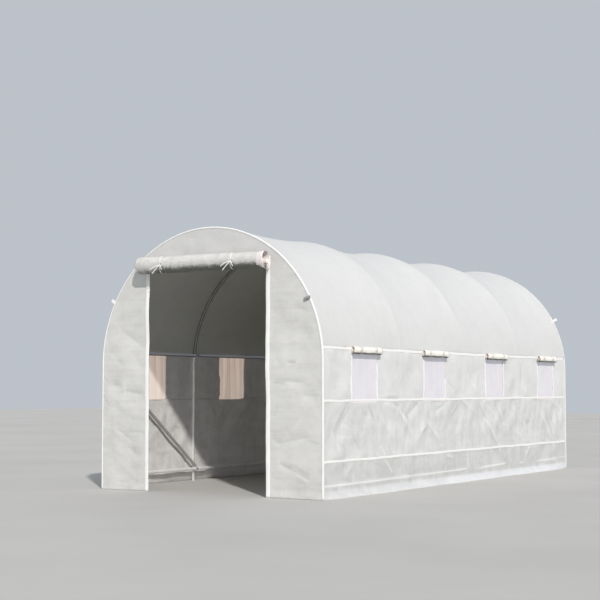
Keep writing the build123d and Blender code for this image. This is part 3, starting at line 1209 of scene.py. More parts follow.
# Across the tunnel and up
FRONT_CREASES = (
    Crease((-0.83, 1.225), (-0.57, 1.080), -0.004, 0.05, -0.30, 0.08),
    Crease((-0.86, 0.990), (-0.78, 0.945), -0.003, 0.03, -0.30),
    Crease((-1.00, 0.870), (-0.92, 0.795), -0.005, 0.05, -0.40, 0.12),
    Crease((-0.94, 0.805), (-0.80, 0.795), -0.004, 0.05, -0.25, 0.10),
    Crease((-0.78, 0.760), (-0.57, 0.728), -0.006, 0.06, -0.45, 0.16),
    Crease((-1.00, 0.730), (-0.93, 0.630), -0.005, 0.05, -0.40, 0.10),
    Crease((-0.95, 0.640), (-0.83, 0.628), -0.004, 0.05, -0.25, 0.12),
    Crease((-0.85, 0.680), (-0.62, 0.560), 0.004, 0.06, 0.15, 0.08),
    Crease((-0.91, 0.485), (-0.64, 0.345), 0.006, 0.05, 0.40, 0.10),
    Crease((-0.86, 0.470), (-0.65, 0.350), -0.006, 0.05, -0.45, 0.14),
    Crease((-0.75, 0.452), (-0.57, 0.445), -0.003, 0.03, -0.30),
    Crease((-0.74, 0.330), (-0.60, 0.250), -0.004, 0.05, -0.20, 0.10),
    Crease((-0.92, 0.330), (-0.72, 0.190), 0.004, 0.07, 0.0, 0.10),
    Crease((0.700, 0.960), (0.780, 0.953), -0.003, 0.02, -0.60),
    Crease((0.570, 0.812), (0.700, 0.806), -0.004, 0.04, -0.30, 0.06),
    Crease((0.640, 0.835), (0.860, 0.812), -0.005, 0.05, -0.35, 0.10),
    Crease((0.830, 0.722), (0.985, 0.728), -0.005, 0.05, -0.30, 0.10),
    Crease((0.570, 0.420), (0.660, 0.385), -0.004, 0.04, -0.35, 0.08),
    Crease((0.630, 0.388), (0.880, 0.435), -0.004, 0.05, -0.30, 0.10),
    Crease((0.870, 0.408), (0.985, 0.386), -0.003, 0.04, -0.30, 0.08),
    Crease((0.640, 0.248), (0.890, 0.138), -0.006, 0.04, -0.55, 0.12),
    Crease((0.730, 0.208), (0.880, 0.120), 0.005, 0.03, 0.30),
    Crease((0.760, 1.360), (0.900, 1.310), -0.003, 0.05, -0.25, 0.08),
    Crease((0.560, 1.010), (0.790, 0.955), 0.004, 0.07, 0.0, 0.07),
    Crease((0.600, 1.400), (0.820, 1.250), 0.003, 0.07, 0.0, 0.06),
    Crease((0.600, 0.600), (0.930, 0.670), 0.004, 0.08, 0.0, 0.07),
    Crease((-0.30, 1.900), (-0.10, 1.760), 0.003, 0.06, 0.0, 0.06),
    Crease((0.20, 1.760), (0.42, 1.840), 0.003, 0.06, 0.0, 0.06),
)
BACK_CREASES = (
    Crease((-0.95, 1.20), (-0.30, 0.95), 0.006, 0.08, -0.30, 0.12),
    Crease((-0.80, 0.70), (-0.20, 0.45), 0.007, 0.08, 0.30, 0.12),
    Crease((0.95, 0.95), (0.40, 0.60), 0.006, 0.08, -0.30, 0.12),
    Crease((0.90, 0.50), (0.30, 0.20), 0.006, 0.08, 0.25, 0.12),
    Crease((-0.10, 1.60), (0.40, 1.40), 0.005, 0.08, -0.30, 0.10),
    Crease((-0.60, 1.55), (-0.20, 1.30), 0.004, 0.07, 0.25, 0.10),
    Crease((0.10, 1.10), (0.60, 1.20), 0.004, 0.07, -0.25, 0.10),
    Crease((-0.30, 0.30), (0.10, 0.12), 0.005, 0.06, 0.30, 0.10),
)


# Along the tunnel: how much higher or lower than the ground rail the sheet touches it, and how tightly
RAIL_LINE = (
    (-2.19, -0.22, 0.12, 0.31, 0.90, 1.19, 1.57, 2.10, 2.31),
    (-0.009, 0.001, 0.006, -0.003, 0.015, 0.005, -0.002, 0.005, 0.012),
)
RAIL_TOUCHED = (
    (-2.19, -2.1, 0.06, 0.13, 0.30, 0.38, 0.86, 0.92, 1.18, 1.21, 1.26, 1.30, 1.55, 1.62, 2.02, 2.09, 2.16, 2.30),
    (0.6, 1, 1, 0, 0, 1, 1, 0, 0, 0.8, 0.8, 0, 0, 1, 1, 0.2, 0.5, 0.5),
)


@dataclass(frozen=True)
class WallShape:
    """The shape of one side wall, from the ground to the roof seam."""

    plan: TunnelPlan
    side: Side
    relief: Relief
    rail_print: float = 0.0026
    hoop_print: float = 0.0012

    @classmethod
    def of(cls, plan: TunnelPlan, side: Side) -> WallShape:
        """The wall of a side.

        Args:
            plan: The tunnel's plan.
            side: The side.

        Returns:
            The wall, with creases that run the other way on the left.
        """
        creases = WALL_CREASES
        if side is Side.LEFT:
            creases = tuple(crease.reversed(plan.front + plan.back) for crease in creases)
        return cls(plan, side, Relief(creases, slack=0.0056, seed=11 if side is Side.RIGHT else 12))

    def held(self, y: Array, level: Array) -> Array:
        """How free the sheet is at places on the wall.

        Args:
            y: Places along the tunnel.
            level: How far each is from the ground, along the wall.

        Returns:
            Values from 0, where it is held, to 1.
        """
        plan = self.plan
        free = plan.off_hoops(y, 0.055)
        for end in (plan.front, plan.back):
            free = free * (1 - bell(y - end, 0.05))
        for seam in (plan.lower_seam, plan.window_seam, plan.seam_level):
            free = free * (1 - 0.72 * bell(level - seam, 0.02))
        return free * np.clip(level / 0.07, 0, 1)

    def lift(self, y: Array, level: Array) -> Array:
        """How far the sheet stands out from the plain wall.

        Args:
            y: Places along the tunnel.
            level: How far each is from the ground, along the wall.

        Returns:
            The distances.
        """
        plan = self.plan
        over_rail = self.rail_print * self.on_rail(y, level, 0.009)
        over_hoops = self.hoop_print * (1 - plan.off_hoops(y, 0.012)) * np.clip(level / 0.1, 0, 1)
        return self.relief.height(y, level) * self.held(y, level) + over_rail + over_hoops

    def on_rail(self, y: Array, level: Array, reach: float) -> Array:
        """How tightly the sheet lies over the ground rail, which it touches here and there.

        Args:
            y: Places along the tunnel.
            level: How far each is from the ground, along the wall.
            reach: How far up and down the rail shows.

        Returns:
            Values from 0 to 1.
        """
        at = y if self.side is Side.RIGHT else self.plan.front + self.plan.back - y
        line = np.interp(at, *RAIL_LINE)
        return np.interp(at, *RAIL_TOUCHED) * bell(level - self.plan.ground_rail - line, reach)

    def fold(self, y: Array, level: Array) -> Array:
        """How much lighter or darker the painted highlight and painted shade of the wall's creases and of its line
        over the ground rail make it, with the arguments of lift.
        """
        return np.clip(self.relief.fold(y, level) + 0.8 * self.on_rail(y, level, 0.0065), -1, 1)

    def outward(self, y: Array, level: Array) -> Array:
        """The direction out of the wall.

        Args:
            y: Places along the tunnel.
            level: How far each is from the ground, along the wall.

        Returns:
            The direction at each place, 1 long.
        """
        plan = self.plan
        angle = np.clip((level - plan.spring) / plan.radius, 0, None)
        slope = self.hem_flare(y) * 1.7 / plan.hem * np.clip(1 - level / plan.hem, 0, 1) ** 0.7
        x = np.cos(angle) / np.hypot(1, slope)
        z = np.where(level > plan.spring, np.sin(angle), slope / np.hypot(1, slope))
        return stacked(x * self.side.value, np.zeros_like(y), z)

    def hem_flare(self, y: Array) -> Array:
        """How far the hem spreads.

        Args:
            y: Places along the tunnel.

        Returns:
            The distances.
        """
        wobble = 0.22 * np.sin(4.3 * y + self.side.value) + 0.13 * np.sin(9.7 * y + 2.0)
        ends = 1 - 0.75 * bell(y - self.plan.front, 0.12)
        ends = ends * (1 - 0.75 * bell(y - self.plan.back, 0.12))
        return self.plan.flare * (1.15 + wobble) * ends

    def place(self, y: Array, level: Array, above: float = 0.0) -> Array:
        """Points on the wall.

        Args:
            y: Places along the tunnel.
            level: How far each is from the ground, along the wall.
            above: How far above the sheet they are.

        Returns:
            The points.
        """
        plan = self.plan
        y, level = np.broadcast_arrays(y, level)
        angle = np.clip((level - plan.spring) / plan.radius, 0, None)
        flare = self.hem_flare(y) * np.clip(1 - level / plan.hem, 0, 1) ** 1.7
        x = np.where(level > plan.spring, plan.radius * np.cos(angle), plan.radius + flare)
        z = np.where(level > plan.spring, plan.spring + plan.radius * np.sin(angle), level)
        plain = stacked(x * self.side.value, y, z)
        return plain + self.outward(y, level) * (self.lift(y, level) + above - SHEET_INSET)[..., None]


@dataclass(frozen=True)
class EndShape:
    """The shape of one end's sheet."""

    plan: TunnelPlan
    y: float
    way: int
    relief: Relief
    door_shifts: tuple[float, float] = (0.0, 0.0)

    def held(self, x: Array, z: Array) -> Array:
        """How free the sheet is at places on it.

        Args:
            x: Places across the tunnel.
            z: Their heights.

        Returns:
            Values from 0, where it is held, to 1.
        """
        plan = self.plan
        from_edge = plan.radius - np.where(z > plan.spring, np.hypot(x, z - plan.spring), np.abs(x))
        free = 1 - bell(np.clip(from_edge - 0.028, 0, None), 0.06)
        return free * np.clip(z / 0.10, 0.15, 1)

    def place(self, x: Array, z: Array, above: float = 0.0) -> Array:
        """Points on the sheet.

        Args:
            x: Places across the tunnel.
            z: Their heights.
            above: How far above the sheet they are.

        Returns:
            The points.
        """
        x, z = np.broadcast_arrays(x, z)
        lift = self.relief.height(x, z) * self.held(x, z) + above - SHEET_INSET
        edge, door = self.plan.radius, self.plan.door_half
        shift = np.interp(x, [-edge, -door, door, edge], [0, *self.door_shifts, 0])
        return stacked(x + shift, self.y + self.way * lift, z)


# The cover


@dataclass
class RoofSheet:
    """The roof: one sheet from seam to seam, stretched over the hoops and dipping between them."""

    plan: TunnelPlan
    thickness: float = 0.0012
    step: float = 0.0225
    relief: Relief = Relief((), slack=0.0021, seed=5, longest=0.9, shortest=0.16)
    taut_edge: float = 0.08
    hoop_reach: float = 0.07
    tent_slope: float = 0.30
    tent_half: float = 0.012
    over_rail: float = 0.0016

    def dip(self, y: Array) -> Array:
        """How far the roof's crown dips.

        Args:
            y: Places along the tunnel.

        Returns:
            The dips.
        """
        total = np.zeros_like(y)
        for near, far, sag in zip(self.plan.hoops, self.plan.hoops[1:], self.plan.sags):
            share = np.clip((y - near) / (far - near), 0, 1)
            arch = 4 * share * (1 - share)
            total = total + sag * arch**2 / (arch + 0.07) * 1.07
        return total

    def build(self) -> None:
        """Makes the roof."""
        plan = self.plan
        y = spread([plan.front, *plan.hoops, plan.back], self.step)[:, None]
        low, high = plan.seam_angle, math.pi - plan.seam_angle
        angle = spread([low, high], self.step / plan.radius)[None]
        level = np.sin(angle) - math.sin(low)
        drop = self.dip(y) * level / (1 - math.sin(low))
        edges = np.clip((angle - low) / self.taut_edge, 0, 1) * np.clip((high - angle) / self.taut_edge, 0, 1)
        loose = self.relief.height(y, angle * plan.radius) * plan.off_hoops(y, self.hoop_reach) * edges
        on_rail = plan.ridge_rail + plan.tube + self.over_rail - plan.spring
        beside_rail = np.clip(plan.radius * np.abs(np.cos(angle)) - self.tent_half, 0, None)
        tent = on_rail - self.tent_slope * beside_rail
        radius = np.maximum(plan.radius - SHEET_INSET - drop + loose, tent)
        x, z = radius * np.cos(angle), plan.spring + radius * np.sin(angle)
        points = stacked(x, y, z)
        places = stacked(y - plan.front, angle * plan.radius)
        outward = stacked(np.cos(angle), 0 * y, np.sin(angle))
        # Painted highlight along the hoops, where the sheet lies over them
        fold = np.broadcast_to(0.10 * (1 - plan.off_hoops(y, 0.014)), points.shape[:2])
        piece = SheetGrid(points, places, outward, fold).piece("roof_sheet", self.thickness, ROOF, LINING)
        strips = ["roof_eave_left", "roof_slope_left", "roof_crown", "roof_slope_right", "roof_eave_right"]
        dress(piece, ROOF, *strips)


@dataclass
class SideWall:
    """One side wall: a lower strip down to its hem, and above it a strip with four windows cut through it."""

    shape: WallShape
    thickness: float = 0.0012

    @property
    def steps(self) -> tuple[float, float]:
        """The largest steps of the lower strip and of the upper one, smaller on the side that the camera sees."""
        return (0.0094, 0.0125) if self.shape.side is Side.RIGHT else (0.0128, 0.016)

    def strip(self, name: str, lines: Sequence[float], step: float, finish: Finish, *nodes: str) -> None:
        """Makes one strip of the wall.

        Args:
            name: The piece's name.
            lines: The distances from the ground, along the wall, that its rows of points keep to.
            step: The largest distance between two rows.
            finish: Its finish outside.
            nodes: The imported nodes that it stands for.
        """
        shape, plan = self.shape, self.shape.plan
        breaks = [plan.front]
        for window in plan.windows:
            breaks += [window - plan.window_half, window + plan.window_half]
        y = spread([*breaks, plan.back], step)[:, None]
        level = spread(lines, step)[None]
        points = shape.place(y, level)
        middle_y, middle_level = (y[1:] + y[:-1]) / 2, (level[:, 1:] + level[:, :-1]) / 2
        keep = np.ones((len(y) - 1, level.shape[1] - 1), dtype=bool)
        for window in plan.windows:
            keep &= ~((np.abs(middle_y - window) < plan.window_half) & (middle_level > plan.window_seam))
        places = stacked(y - plan.front, level)
        grid = SheetGrid(points, places, shape.outward(y, level), shape.fold(y, level), keep)
        dress(grid.piece(name, self.thickness, finish, LINING), finish, *nodes)

    def build(self) -> None:
        """Makes the wall."""
        plan, side = self.shape.plan, self.shape.side.label
        length, upper = plan.back - plan.front, f"window_band_sheet_{side}"
        lower_step, upper_step = self.steps
        band = [plan.window_seam, plan.spring, plan.seam_level]
        self.strip(upper, band, upper_step, BAND, f"window_band_{side}")
        lower = f"lower_wall_sheet_{side}"
        rows = [0, plan.hem, plan.lower_seam, plan.window_seam]
        self.strip(lower, rows, lower_step, COVER, f"lower_wall_{side}", f"hem_{side}")


@dataclass
class EndSheet:
    """The sheet of one end, with the doorway cut out of the front one."""

    shape: EndShape
    name: str
    nodes: tuple[str, ...]
    doorway: bool
    thickness: float = 0.0012
    step: float = 0.0122

    def build(self) -> None:
        """Makes the sheet."""
        shape, plan = self.shape, self.shape.plan
        radius = plan.radius - 0.002
        reach = math.acos(plan.door_half / radius)
        turn = spread([0, reach], self.step / radius)
        right = radius * np.cos(turn)
        middle = spread([plan.door_half, -plan.door_half], self.step)
        x = np.concatenate([right[:-1], middle, -right[::-1][1:]])[:, None]
        top = plan.spring + np.sqrt(np.clip(radius**2 - x**2, 0, None))
        corner = plan.spring + math.sqrt(radius**2 - plan.door_half**2)
        waist = np.where(np.abs(x) <= plan.door_half + 1e-6, plan.door_top, top * plan.door_top / corner)
        lower = spread([0, 1], self.step / plan.door_top)[None]
        upper = spread([0, 1], self.step / (plan.spring + radius - plan.door_top))[None, 1:]
        z = np.concatenate([waist * lower, waist + (top - waist) * upper], axis=1)
        points = shape.place(x, z)
        keep = np.ones((x.shape[0] - 1, z.shape[1] - 1), dtype=bool)
        if self.doorway:
            inside = np.abs((x[1:] + x[:-1]) / 2) < plan.door_half
            keep &= ~(inside & (np.arange(z.shape[1] - 1)[None] < lower.shape[1] - 1))
        places = stacked(x, z)
        outward = np.broadcast_to((0, shape.way, 0), points.shape)
        grid = SheetGrid(points, places, outward, shape.relief.fold(x, z), keep)
        piece = grid.piece(self.name, self.thickness, ENDS, LINING)
        dress(piece, ENDS, *self.nodes)
        area = 2 * plan.radius * plan.spring + math.pi * plan.radius**2 / 2
        if self.doorway:
            area -= 2 * plan.door_half * plan.door_top


@dataclass
class WallTapes:
    """The tapes sewn along one side wall's seams and up both sides of its windows."""

    shape: WallShape
    width: float = 0.018
    roof_width: float = 0.021
    trim_width: float = 0.019
    thickness: float = 0.0010
    sill_width: float = 0.016
    sill_thickness: float = 0.0006
    sill_drop: float = 0.011
    sill_lap: float = 0.01
    step: float = 0.0155
    points: int = 40

    def sill(self, name: str, window: float) -> Piece:
        """A strip of tape under a window.

        Args:
            name: The piece's name.
            window: The window's place along the tunnel.

        Returns:
            The strip.
        """
        plan = self.shape.plan
        reach = plan.window_half + self.sill_lap
        y = window + np.linspace(-reach, reach, self.points)
        level = plan.window_seam - self.sill_drop + 0.001 * np.sin(9 * y)
        path = self.shape.place(y, level, -0.0001)
        return strap(name, path, self.shape.outward(y, level), self.sill_width, self.sill_thickness, SILL)

    def along(self, name: str, level: float) -> Piece:
        """A tape along a seam.

        Args:
            name: The piece's name.
            level: The seam's distance from the ground, along the wall.

        Returns:
            The tape.
        """
        plan = self.shape.plan
        y = np.arange(plan.front + 0.012, plan.back - 0.01, self.step)
        heights = level + 0.0013 * np.sin(7.1 * y + level * 9) + 0.0009 * np.sin(17.3 * y)
        path = self.shape.place(y, heights, 0.0002)
        width = self.roof_width if level == plan.seam_level else self.width
        return strap(name, path, self.shape.outward(y, heights), width, self.thickness, SEAM, 0.0008)

    def upright(self, name: str, y: float) -> Piece:
        """A trim up one side of a window.

        Args:
            name: The piece's name.
            y: The trim's place along the tunnel.

        Returns:
            The trim.
        """
        plan = self.shape.plan
        level = np.linspace(plan.window_seam, plan.seam_level, self.points)
        places = np.full_like(level, y)
        path = self.shape.place(places, level)
        return strap(name, path, self.shape.outward(places, level), self.trim_width, self.thickness, TRIM, 0.0006)

    def build(self) -> None:
        """Makes the tapes."""
        plan, side = self.shape.plan, self.shape.side.label
        seams = {"lower": plan.lower_seam, "window": plan.window_seam, "roof": plan.seam_level}
        for name, level in seams.items():
            dress(self.along(f"{name}_seam_tape_{side}", level), SEAM, f"wall_tapes_{side}")
        trims = []
        for number, window in enumerate(plan.windows, 1):
            for end, way in (("near", -1), ("far", 1)):
                y = window + way * (plan.window_half + self.trim_width / 2)
                trims.append(self.upright(f"window_{number}_{end}_trim_{side}", y))
        dress(joined(f"window_trims_{side}", trims), TRIM, f"wall_tapes_{side}")
        sills = [self.sill(f"window_{number}_sill_{side}", window) for number, window in enumerate(plan.windows, 1)]
        dress(joined(f"window_sills_{side}", sills), SILL, f"wall_tapes_{side}")


@dataclass
class DoorwayTape:
    """The tape round the doorway, folded over the sheet's edge."""

    shape: EndShape
    width: float = 0.034
    thickness: float = 0.0012
    lap: float = 0.004
    step: float = 0.014

    def strip(self, name: str, path: Array, crown: float) -> Piece:
        """One straight run of the tape.

        Args:
            name: The piece's name.
            path: The points along its middle.
            crown: How much its middle stands proud of its edges.

        Returns:
            The tape.
        """
        facing = np.broadcast_to((0.0, self.shape.way, 0.0), path.shape)
        return strap(name, path, facing, self.width, self.thickness, DOOR_TAPE, crown)

    def build(self) -> None:
        """Makes the tape."""
        plan = self.shape.plan
        strips = []
        middle = plan.door_half + self.width / 2 - self.lap
        for side in Side:
            z = np.arange(0.0, plan.door_top + self.width, self.step)
            x = side.value * (middle + 0.0008 * np.sin(11 * z)) + 0.0022 * np.sin(3.4 * z + 1)
            strips.append(self.strip(f"door_tape_{side.label}", self.shape.place(x, z, 0.0004), 0.002))
        x = np.arange(-middle - self.width / 2, middle + self.width / 2, self.step)
        head = self.shape.place(x, plan.door_top + self.width / 2 - self.lap, 0.0022)
        strips.append(self.strip("door_tape_head", head, 0.001))
        dress(joined("doorway_tape", strips), DOOR_TAPE, "door_tape")


@dataclass
class EdgePiping:
    """The rounded binding over the corner between one end's sheet and the walls and roof."""

    plan: TunnelPlan
    y: float
    way: int
    name: str
    lap: float = 0.0095
    return_lap: float = 0.018
    thickness: float = 0.0009
    step: float = 0.02
    finish: Finish = PIPING

    def build(self) -> None:
        """Makes the binding."""
        plan = self.plan
        rises = spread([0, plan.spring], self.step)
        turns = spread([0, math.pi], self.step)
        legs = stacked(np.full_like(rises, plan.radius), rises)
        arc = stacked(plan.radius * np.cos(turns), plan.spring + plan.radius * np.sin(turns))
        path = np.concatenate([legs[:-1], arc, (legs * [-1, 1])[::-1][1:]])
        turned = np.concatenate([0 * rises[:-1], turns, np.full(len(rises) - 1, math.pi)])
        radial = stacked(np.cos(turned), np.sin(turned))
        length = distances(path)
        over_end = [(-self.lap, 0.0006), (-self.lap + 0.001, 0.0014), (-0.0060, 0.0022), (-0.0028, 0.0033)]
        round_corner = [(0.0006, 0.0039), (0.0032, 0.0028), (0.0042, 0.0)]
        returns = ((0.0036, 0.31 * self.return_lap), (0.0024, 0.67 * self.return_lap),
                   (0.0012, self.return_lap - 0.001), (0.0004, self.return_lap))
        profile = np.array([*over_end, *round_corner, *((inwards, -back) for inwards, back in returns)])
        wander = 1 + 0.05 * np.sin(6.1 * length + 1) + 0.03 * np.sin(15.7 * length)
        wander = wander * np.interp(turned, [0, 0.5 * math.pi, 0.8 * math.pi], [1, 1, 0.5])
        inwards = profile[None, :, 0] * np.where(profile[None, :, 0] < -0.004, wander[:, None], 1)
        flat = path[:, None] + radial[:, None] * inwards[..., None]
        out = self.y + self.way * np.broadcast_to(profile[None, :, 1], inwards.shape)
        points = stacked(flat[..., 0], out, flat[..., 1])
        run = distances(profile)
        places = stacked(length[:, None], run[None] - run[-1] / 2)
        outward = stacked(radial[:, 0], np.full(len(path), float(self.way)), radial[:, 1])
        facing = np.broadcast_to(outward[:, None], points.shape)
        piece = SheetGrid(points, places, facing).piece(self.name, self.thickness, self.finish)
        dress(piece, self.finish, self.name)


@dataclass
class GuyLoops:
    """Webbing loops for guy ropes, sewn into the end bindings."""

    plan: TunnelPlan
    length: float = 0.042
    width: float = 0.024
    thickness: float = 0.0011
    gap: float = 0.0035
    angle: float = math.radians(28)
    inset: float = 0.0045
    folded_turn: float = 0.12
    folded_out: float = 0.0095
    folded_shift: float = 0.020

    def model(self, finish: Finish) -> Piece:
        """One loop at the origin, standing out along x, with its width along z.

        Args:
            finish: The loop's finish.

        Returns:
            The loop.
        """
        gap, reach = self.gap, self.length - self.gap
        back = [(-0.012, -gap * 0.4), (0.0, -gap * 0.5), (reach * 0.5, -gap), (reach - 0.003, -gap)]
        turn = [(reach + gap * math.sin(a), -gap * math.cos(a)) for a in np.linspace(0.3, math.pi - 0.3, 8)]
        front = [(x, -y) for x, y in reversed(back)]
        line = np.array([*back, *turn, *front])
        path = stacked(line[:, 0], line[:, 1], 0 * line[:, 0])
        ahead = np.gradient(path, axis=0)
        outward = unit(stacked(ahead[:, 1], -ahead[:, 0], 0 * ahead[:, 0]))
        return strap("guy_loop", path, outward, self.width, self.thickness, finish)

    def build(self) -> None:
        """Makes the loops."""
        plan = self.plan
        front, back = plan.front + self.inset, plan.back - self.inset
        stands = ((front, math.pi - self.angle), (back, self.angle), (back, math.pi - self.angle))
        places = [plan.on_arch(y, angle, plan.radius + 0.003) for y, angle in stands]
        loops = copied(self.model(WEBBING), places)
        dress(joined("guy_rope_loops", loops), WEBBING, "guy_loops")
        # The front right loop, folded onto the front, in dark grey webbing as painted shade
        folded = self.model(SHADED_LOOP)
        angle = self.angle - self.folded_shift
        lean = Matrix.Rotation(math.pi - angle + self.folded_turn, 4, "Y")
        x, z = math.cos(angle) * plan.radius, plan.spring + math.sin(angle) * plan.radius
        corner = Matrix.Translation((x, plan.front - self.folded_out, z))
        folded.data.transform(corner @ lean @ Matrix.Diagonal((1, 1, 0.75, 1)))
        dress(joined("guy_rope_loop_folded", [folded]), SHADED_LOOP)


# What is rolled up


@dataclass(frozen=True)
class Roll:
    """A sheet rolled up against a wall: its flange hangs down the wall and the rest turns under and outwards."""

    radius: float
    core: float
    turns: float
    half_length: float
    flange: float
    relief: Relief
    pinches: tuple[float, ...]
    pinch: float
    flare: float
    collar: float = 0.90
    recess: float = 0.0
    rounded: float = 0.0
    taper: float = 0.0
    rise: tuple[float, ...] = (0.0, 0.0, 0.0, 0.0, 0.0)
    slide: float = 0.0015
    depth: float = 1.0
    around: int = 34
    step: float = 0.012
    tie_reach: float = 0.016
    flange_rows: int = 4
    against_wall: float = 0.0006

    @property
    def cut(self) -> float:
        """The length of sheet that is rolled up, with the flange."""
        return self.flange + math.pi * (self.radius + self.core) * self.turns

    def risen(self, share: Array) -> Array:
        """How much higher the roll hangs at places along it, from -1 to 1."""
        return np.interp(share, [-1, -0.5, 0, 0.5, 1], self.rise)

    def grid(self, place: Callable[[Array, Array, Array], Array]) -> SheetGrid:
        """The rolled sheet.

        Args:
            place: Puts points given by their places along the roll, out from the wall and up from its middle.

        Returns:
            The sheet.
        """
        steps = int(self.turns * self.around)
        angle = np.linspace(0, 2 * np.pi * self.turns, steps)[None]
        plain = self.radius - (self.radius - self.core) * angle / angle[0, -1]
        along = spread([-self.half_length, self.half_length], self.step)[:, None]
        share = along / self.half_length
        wind = np.cumsum(plain * (angle[0, 1] - angle[0, 0]), axis=1)
        loose = self.relief.height(along, wind)
        tied = sum(bell(along - pinch, self.tie_reach) for pinch in self.pinches)
        opened = np.clip((share - self.collar) / (1 - self.collar), 0, 1)
        neck = 0.4 * bell(share - self.collar, 0.012)
        drawn = np.clip((-share - 0.955) / 0.045, 0, 1) ** 2 - 0.22 * bell(share + 0.945, 0.007)
        outer = np.clip(plain / self.radius, 0, 1)
        radius = plain + loose * outer - self.pinch * tied * outer + self.taper * share * outer
        radius = radius + self.flare * (opened - neck) * outer**2 - self.rounded * drawn * outer**3
        turned = np.pi + angle
        out = self.depth * (self.radius + radius * np.cos(turned))
        up = radius * np.sin(turned) + self.risen(share)
        out = np.maximum(out, 0.0004)
        inner = np.clip(angle / (2 * np.pi) - 0.9, 0, 1)
        slide = self.slide * (np.sin(angle * 0.63 + 0.5) + 0.67 * np.sin(angle * 0.21))
        slide = slide - self.recess * inner * np.clip(np.sin(turned) + 0.35, 0, 1) * (share > 0)
        shifted = along + slide * np.abs(share) ** 6 * np.sign(share)
        hang = np.linspace(self.flange, 0.004, self.flange_rows, endpoint=False)[None]
        straight = np.full((along.shape[0], self.flange_rows), self.against_wall)
        out = np.concatenate([straight, out], axis=1)
        up = np.concatenate([np.broadcast_to(hang, straight.shape) + 0 * along, up], axis=1)
        flange = along - 0.6 * self.recess * np.clip(share, 0, 1) ** 6
        shifted = np.concatenate([np.broadcast_to(flange, straight.shape), shifted], axis=1)
        points = place(shifted, out, up)
        lengths = np.concatenate([self.flange - hang, self.flange + wind], axis=1)
        places = stacked(along, lengths)
        zero, still = np.zeros_like(straight), np.zeros_like(out)
        wound = out[:, self.flange_rows:].shape
        away = np.concatenate([zero + 1, np.broadcast_to(np.cos(turned), wound)], axis=1)
        over = np.concatenate([zero, np.broadcast_to(np.sin(turned), wound)], axis=1)
        outward = place(still, away, over) - place(still, still, still)
        # Painted tone: painted shade under the roll, and painted light, below 0, on the turned-out collar and at the
        # ends
        below = np.clip((0.35 - np.sin(turned)) / 1.35, 0, 1)
        if self.rounded:
            below = below * np.interp(share, [-1, -0.68, -0.60], [0.70, 0.70, 1])
        edge = self.collar + 0.01 + 0.09 * np.clip((below - 0.62) / 0.38, 0, 1)
        fold = np.where(share > edge, -1.0, below)
        fold = np.where((share < -0.962) & (below < 0.6) & (self.rounded > 0), -0.7, fold)
        fold = np.where((share < -0.982) & (angle > 5.5) & (self.rounded == 0), -1.0, fold)
        return SheetGrid(points, places, outward, np.concatenate([zero, fold], axis=1))


@dataclass
class TieBow:
    """A ribbon round a roll, knotted in a bow at its front."""

    radius: float
    width: float
    tail: float
    loop: float
    knot_angle: float
    finish: Finish
    lean: float = 0.0
    thickness: float = 0.0011

    def hoop(self) -> Piece:
        """The part that goes round the roll, with its middle at the origin and the roll along x.

        Returns:
            The ribbon.
        """
        turn = np.linspace(-0.78 * np.pi, 0.93 * np.pi, 36)
        leaning = self.lean * np.abs(np.sin(turn)) + 0.0015 * np.sin(turn * 3)
        path = stacked(leaning, -self.radius * np.cos(turn), self.radius * np.sin(turn))
        outward = stacked(0 * turn, -np.cos(turn), np.sin(turn))
        return strap("tie_hoop", path, outward, self.width, self.thickness, self.finish)

    def leaf(self, name: str, points: Array, width: float) -> Piece:
        """A free part of the ribbon, through a few points across, out from and up the roll's front.

        Args:
            name: The piece's name.
            points: The points: across, out and up from the knot.
            width: The ribbon's width there.

        Returns:
            The ribbon.
        """
        last = len(points) - 1
        at = np.linspace(0, last, 20)
        low = np.clip(at.astype(int), 0, last - 1)
        a, b, c, d = (points[np.clip(low + i, 0, last)] for i in (-1, 0, 1, 2))
        t = (at - low)[:, None]
        line = 0.5 * (2 * b + (c - a) * t + (2 * a - 5 * b + 4 * c - d) * t**2 + (3 * b - a - 3 * c + d) * t**3)
        centre = np.array([0, -math.cos(self.knot_angle), math.sin(self.knot_angle)])
        rising = np.array([0, math.sin(self.knot_angle), math.cos(self.knot_angle)])
        knot = centre * (self.radius + 0.004)
        path = knot + line @ np.array([(1.0, 0, 0), centre, rising])
        ahead = unit(np.gradient(path, axis=0))
        outward = unit(centre - ahead * (ahead @ centre)[:, None])
        return strap(name, path, outward, width, self.thickness, self.finish)

    def knot(self) -> Piece:
        """The knot: a ball pressed flat, with the ribbon's turns creased into it.

        Returns:
            The knot.
        """
        clear_selection()
        bpy.ops.mesh.primitive_uv_sphere_add(segments=14, ring_count=8, radius=self.width * 0.62)
        ball = bpy.context.object
        for vertex in ball.data.vertices:
            x, y, z = vertex.co
            crease = 1 + 0.14 * math.sin(x * 900) + 0.1 * math.sin(z * 700 + x * 300)
            vertex.co = (x * 0.85 * crease, y * 0.6, z * 0.95 * crease)
        ball.data.materials.append(self.finish.material())
        bpy.ops.object.shade_smooth()
        out = self.radius + 0.003
        ball.location = (0, -math.cos(self.knot_angle) * out, math.sin(self.knot_angle) * out)
        settle(ball)
        return ball

    def build(self, name: str) -> Piece:
        """Makes the tie.

        Args:
            name: The piece's name.

        Returns:
            The tie.
        """
        knot = (0, 0, 0)
        tails = (
            (knot, (-0.5, 0.05, -0.12), (-1, 0.04, -0.37)),
            (knot, (-0.38, 0.06, -0.30), (-0.82, 0.02, -0.70)),
            (knot, (0.10, 0.05, -0.22), (0.20, 0.0, -0.42)),
        )
        loop = (knot, (0.4, 0.2, 0.9), (1, 0.26, 0.75), (1.05, 0.2, -0.1), (0.5, 0.12, -0.4), knot)
        parts = [self.hoop(), self.knot()]
        for number, tail in enumerate(tails, 1):
            parts.append(self.leaf(f"tail_{number}", self.tail * np.array(tail), self.width))
        parts.append(self.leaf("loop", self.loop * np.array(loop), 0.8 * self.width))
        return joined(name, parts)


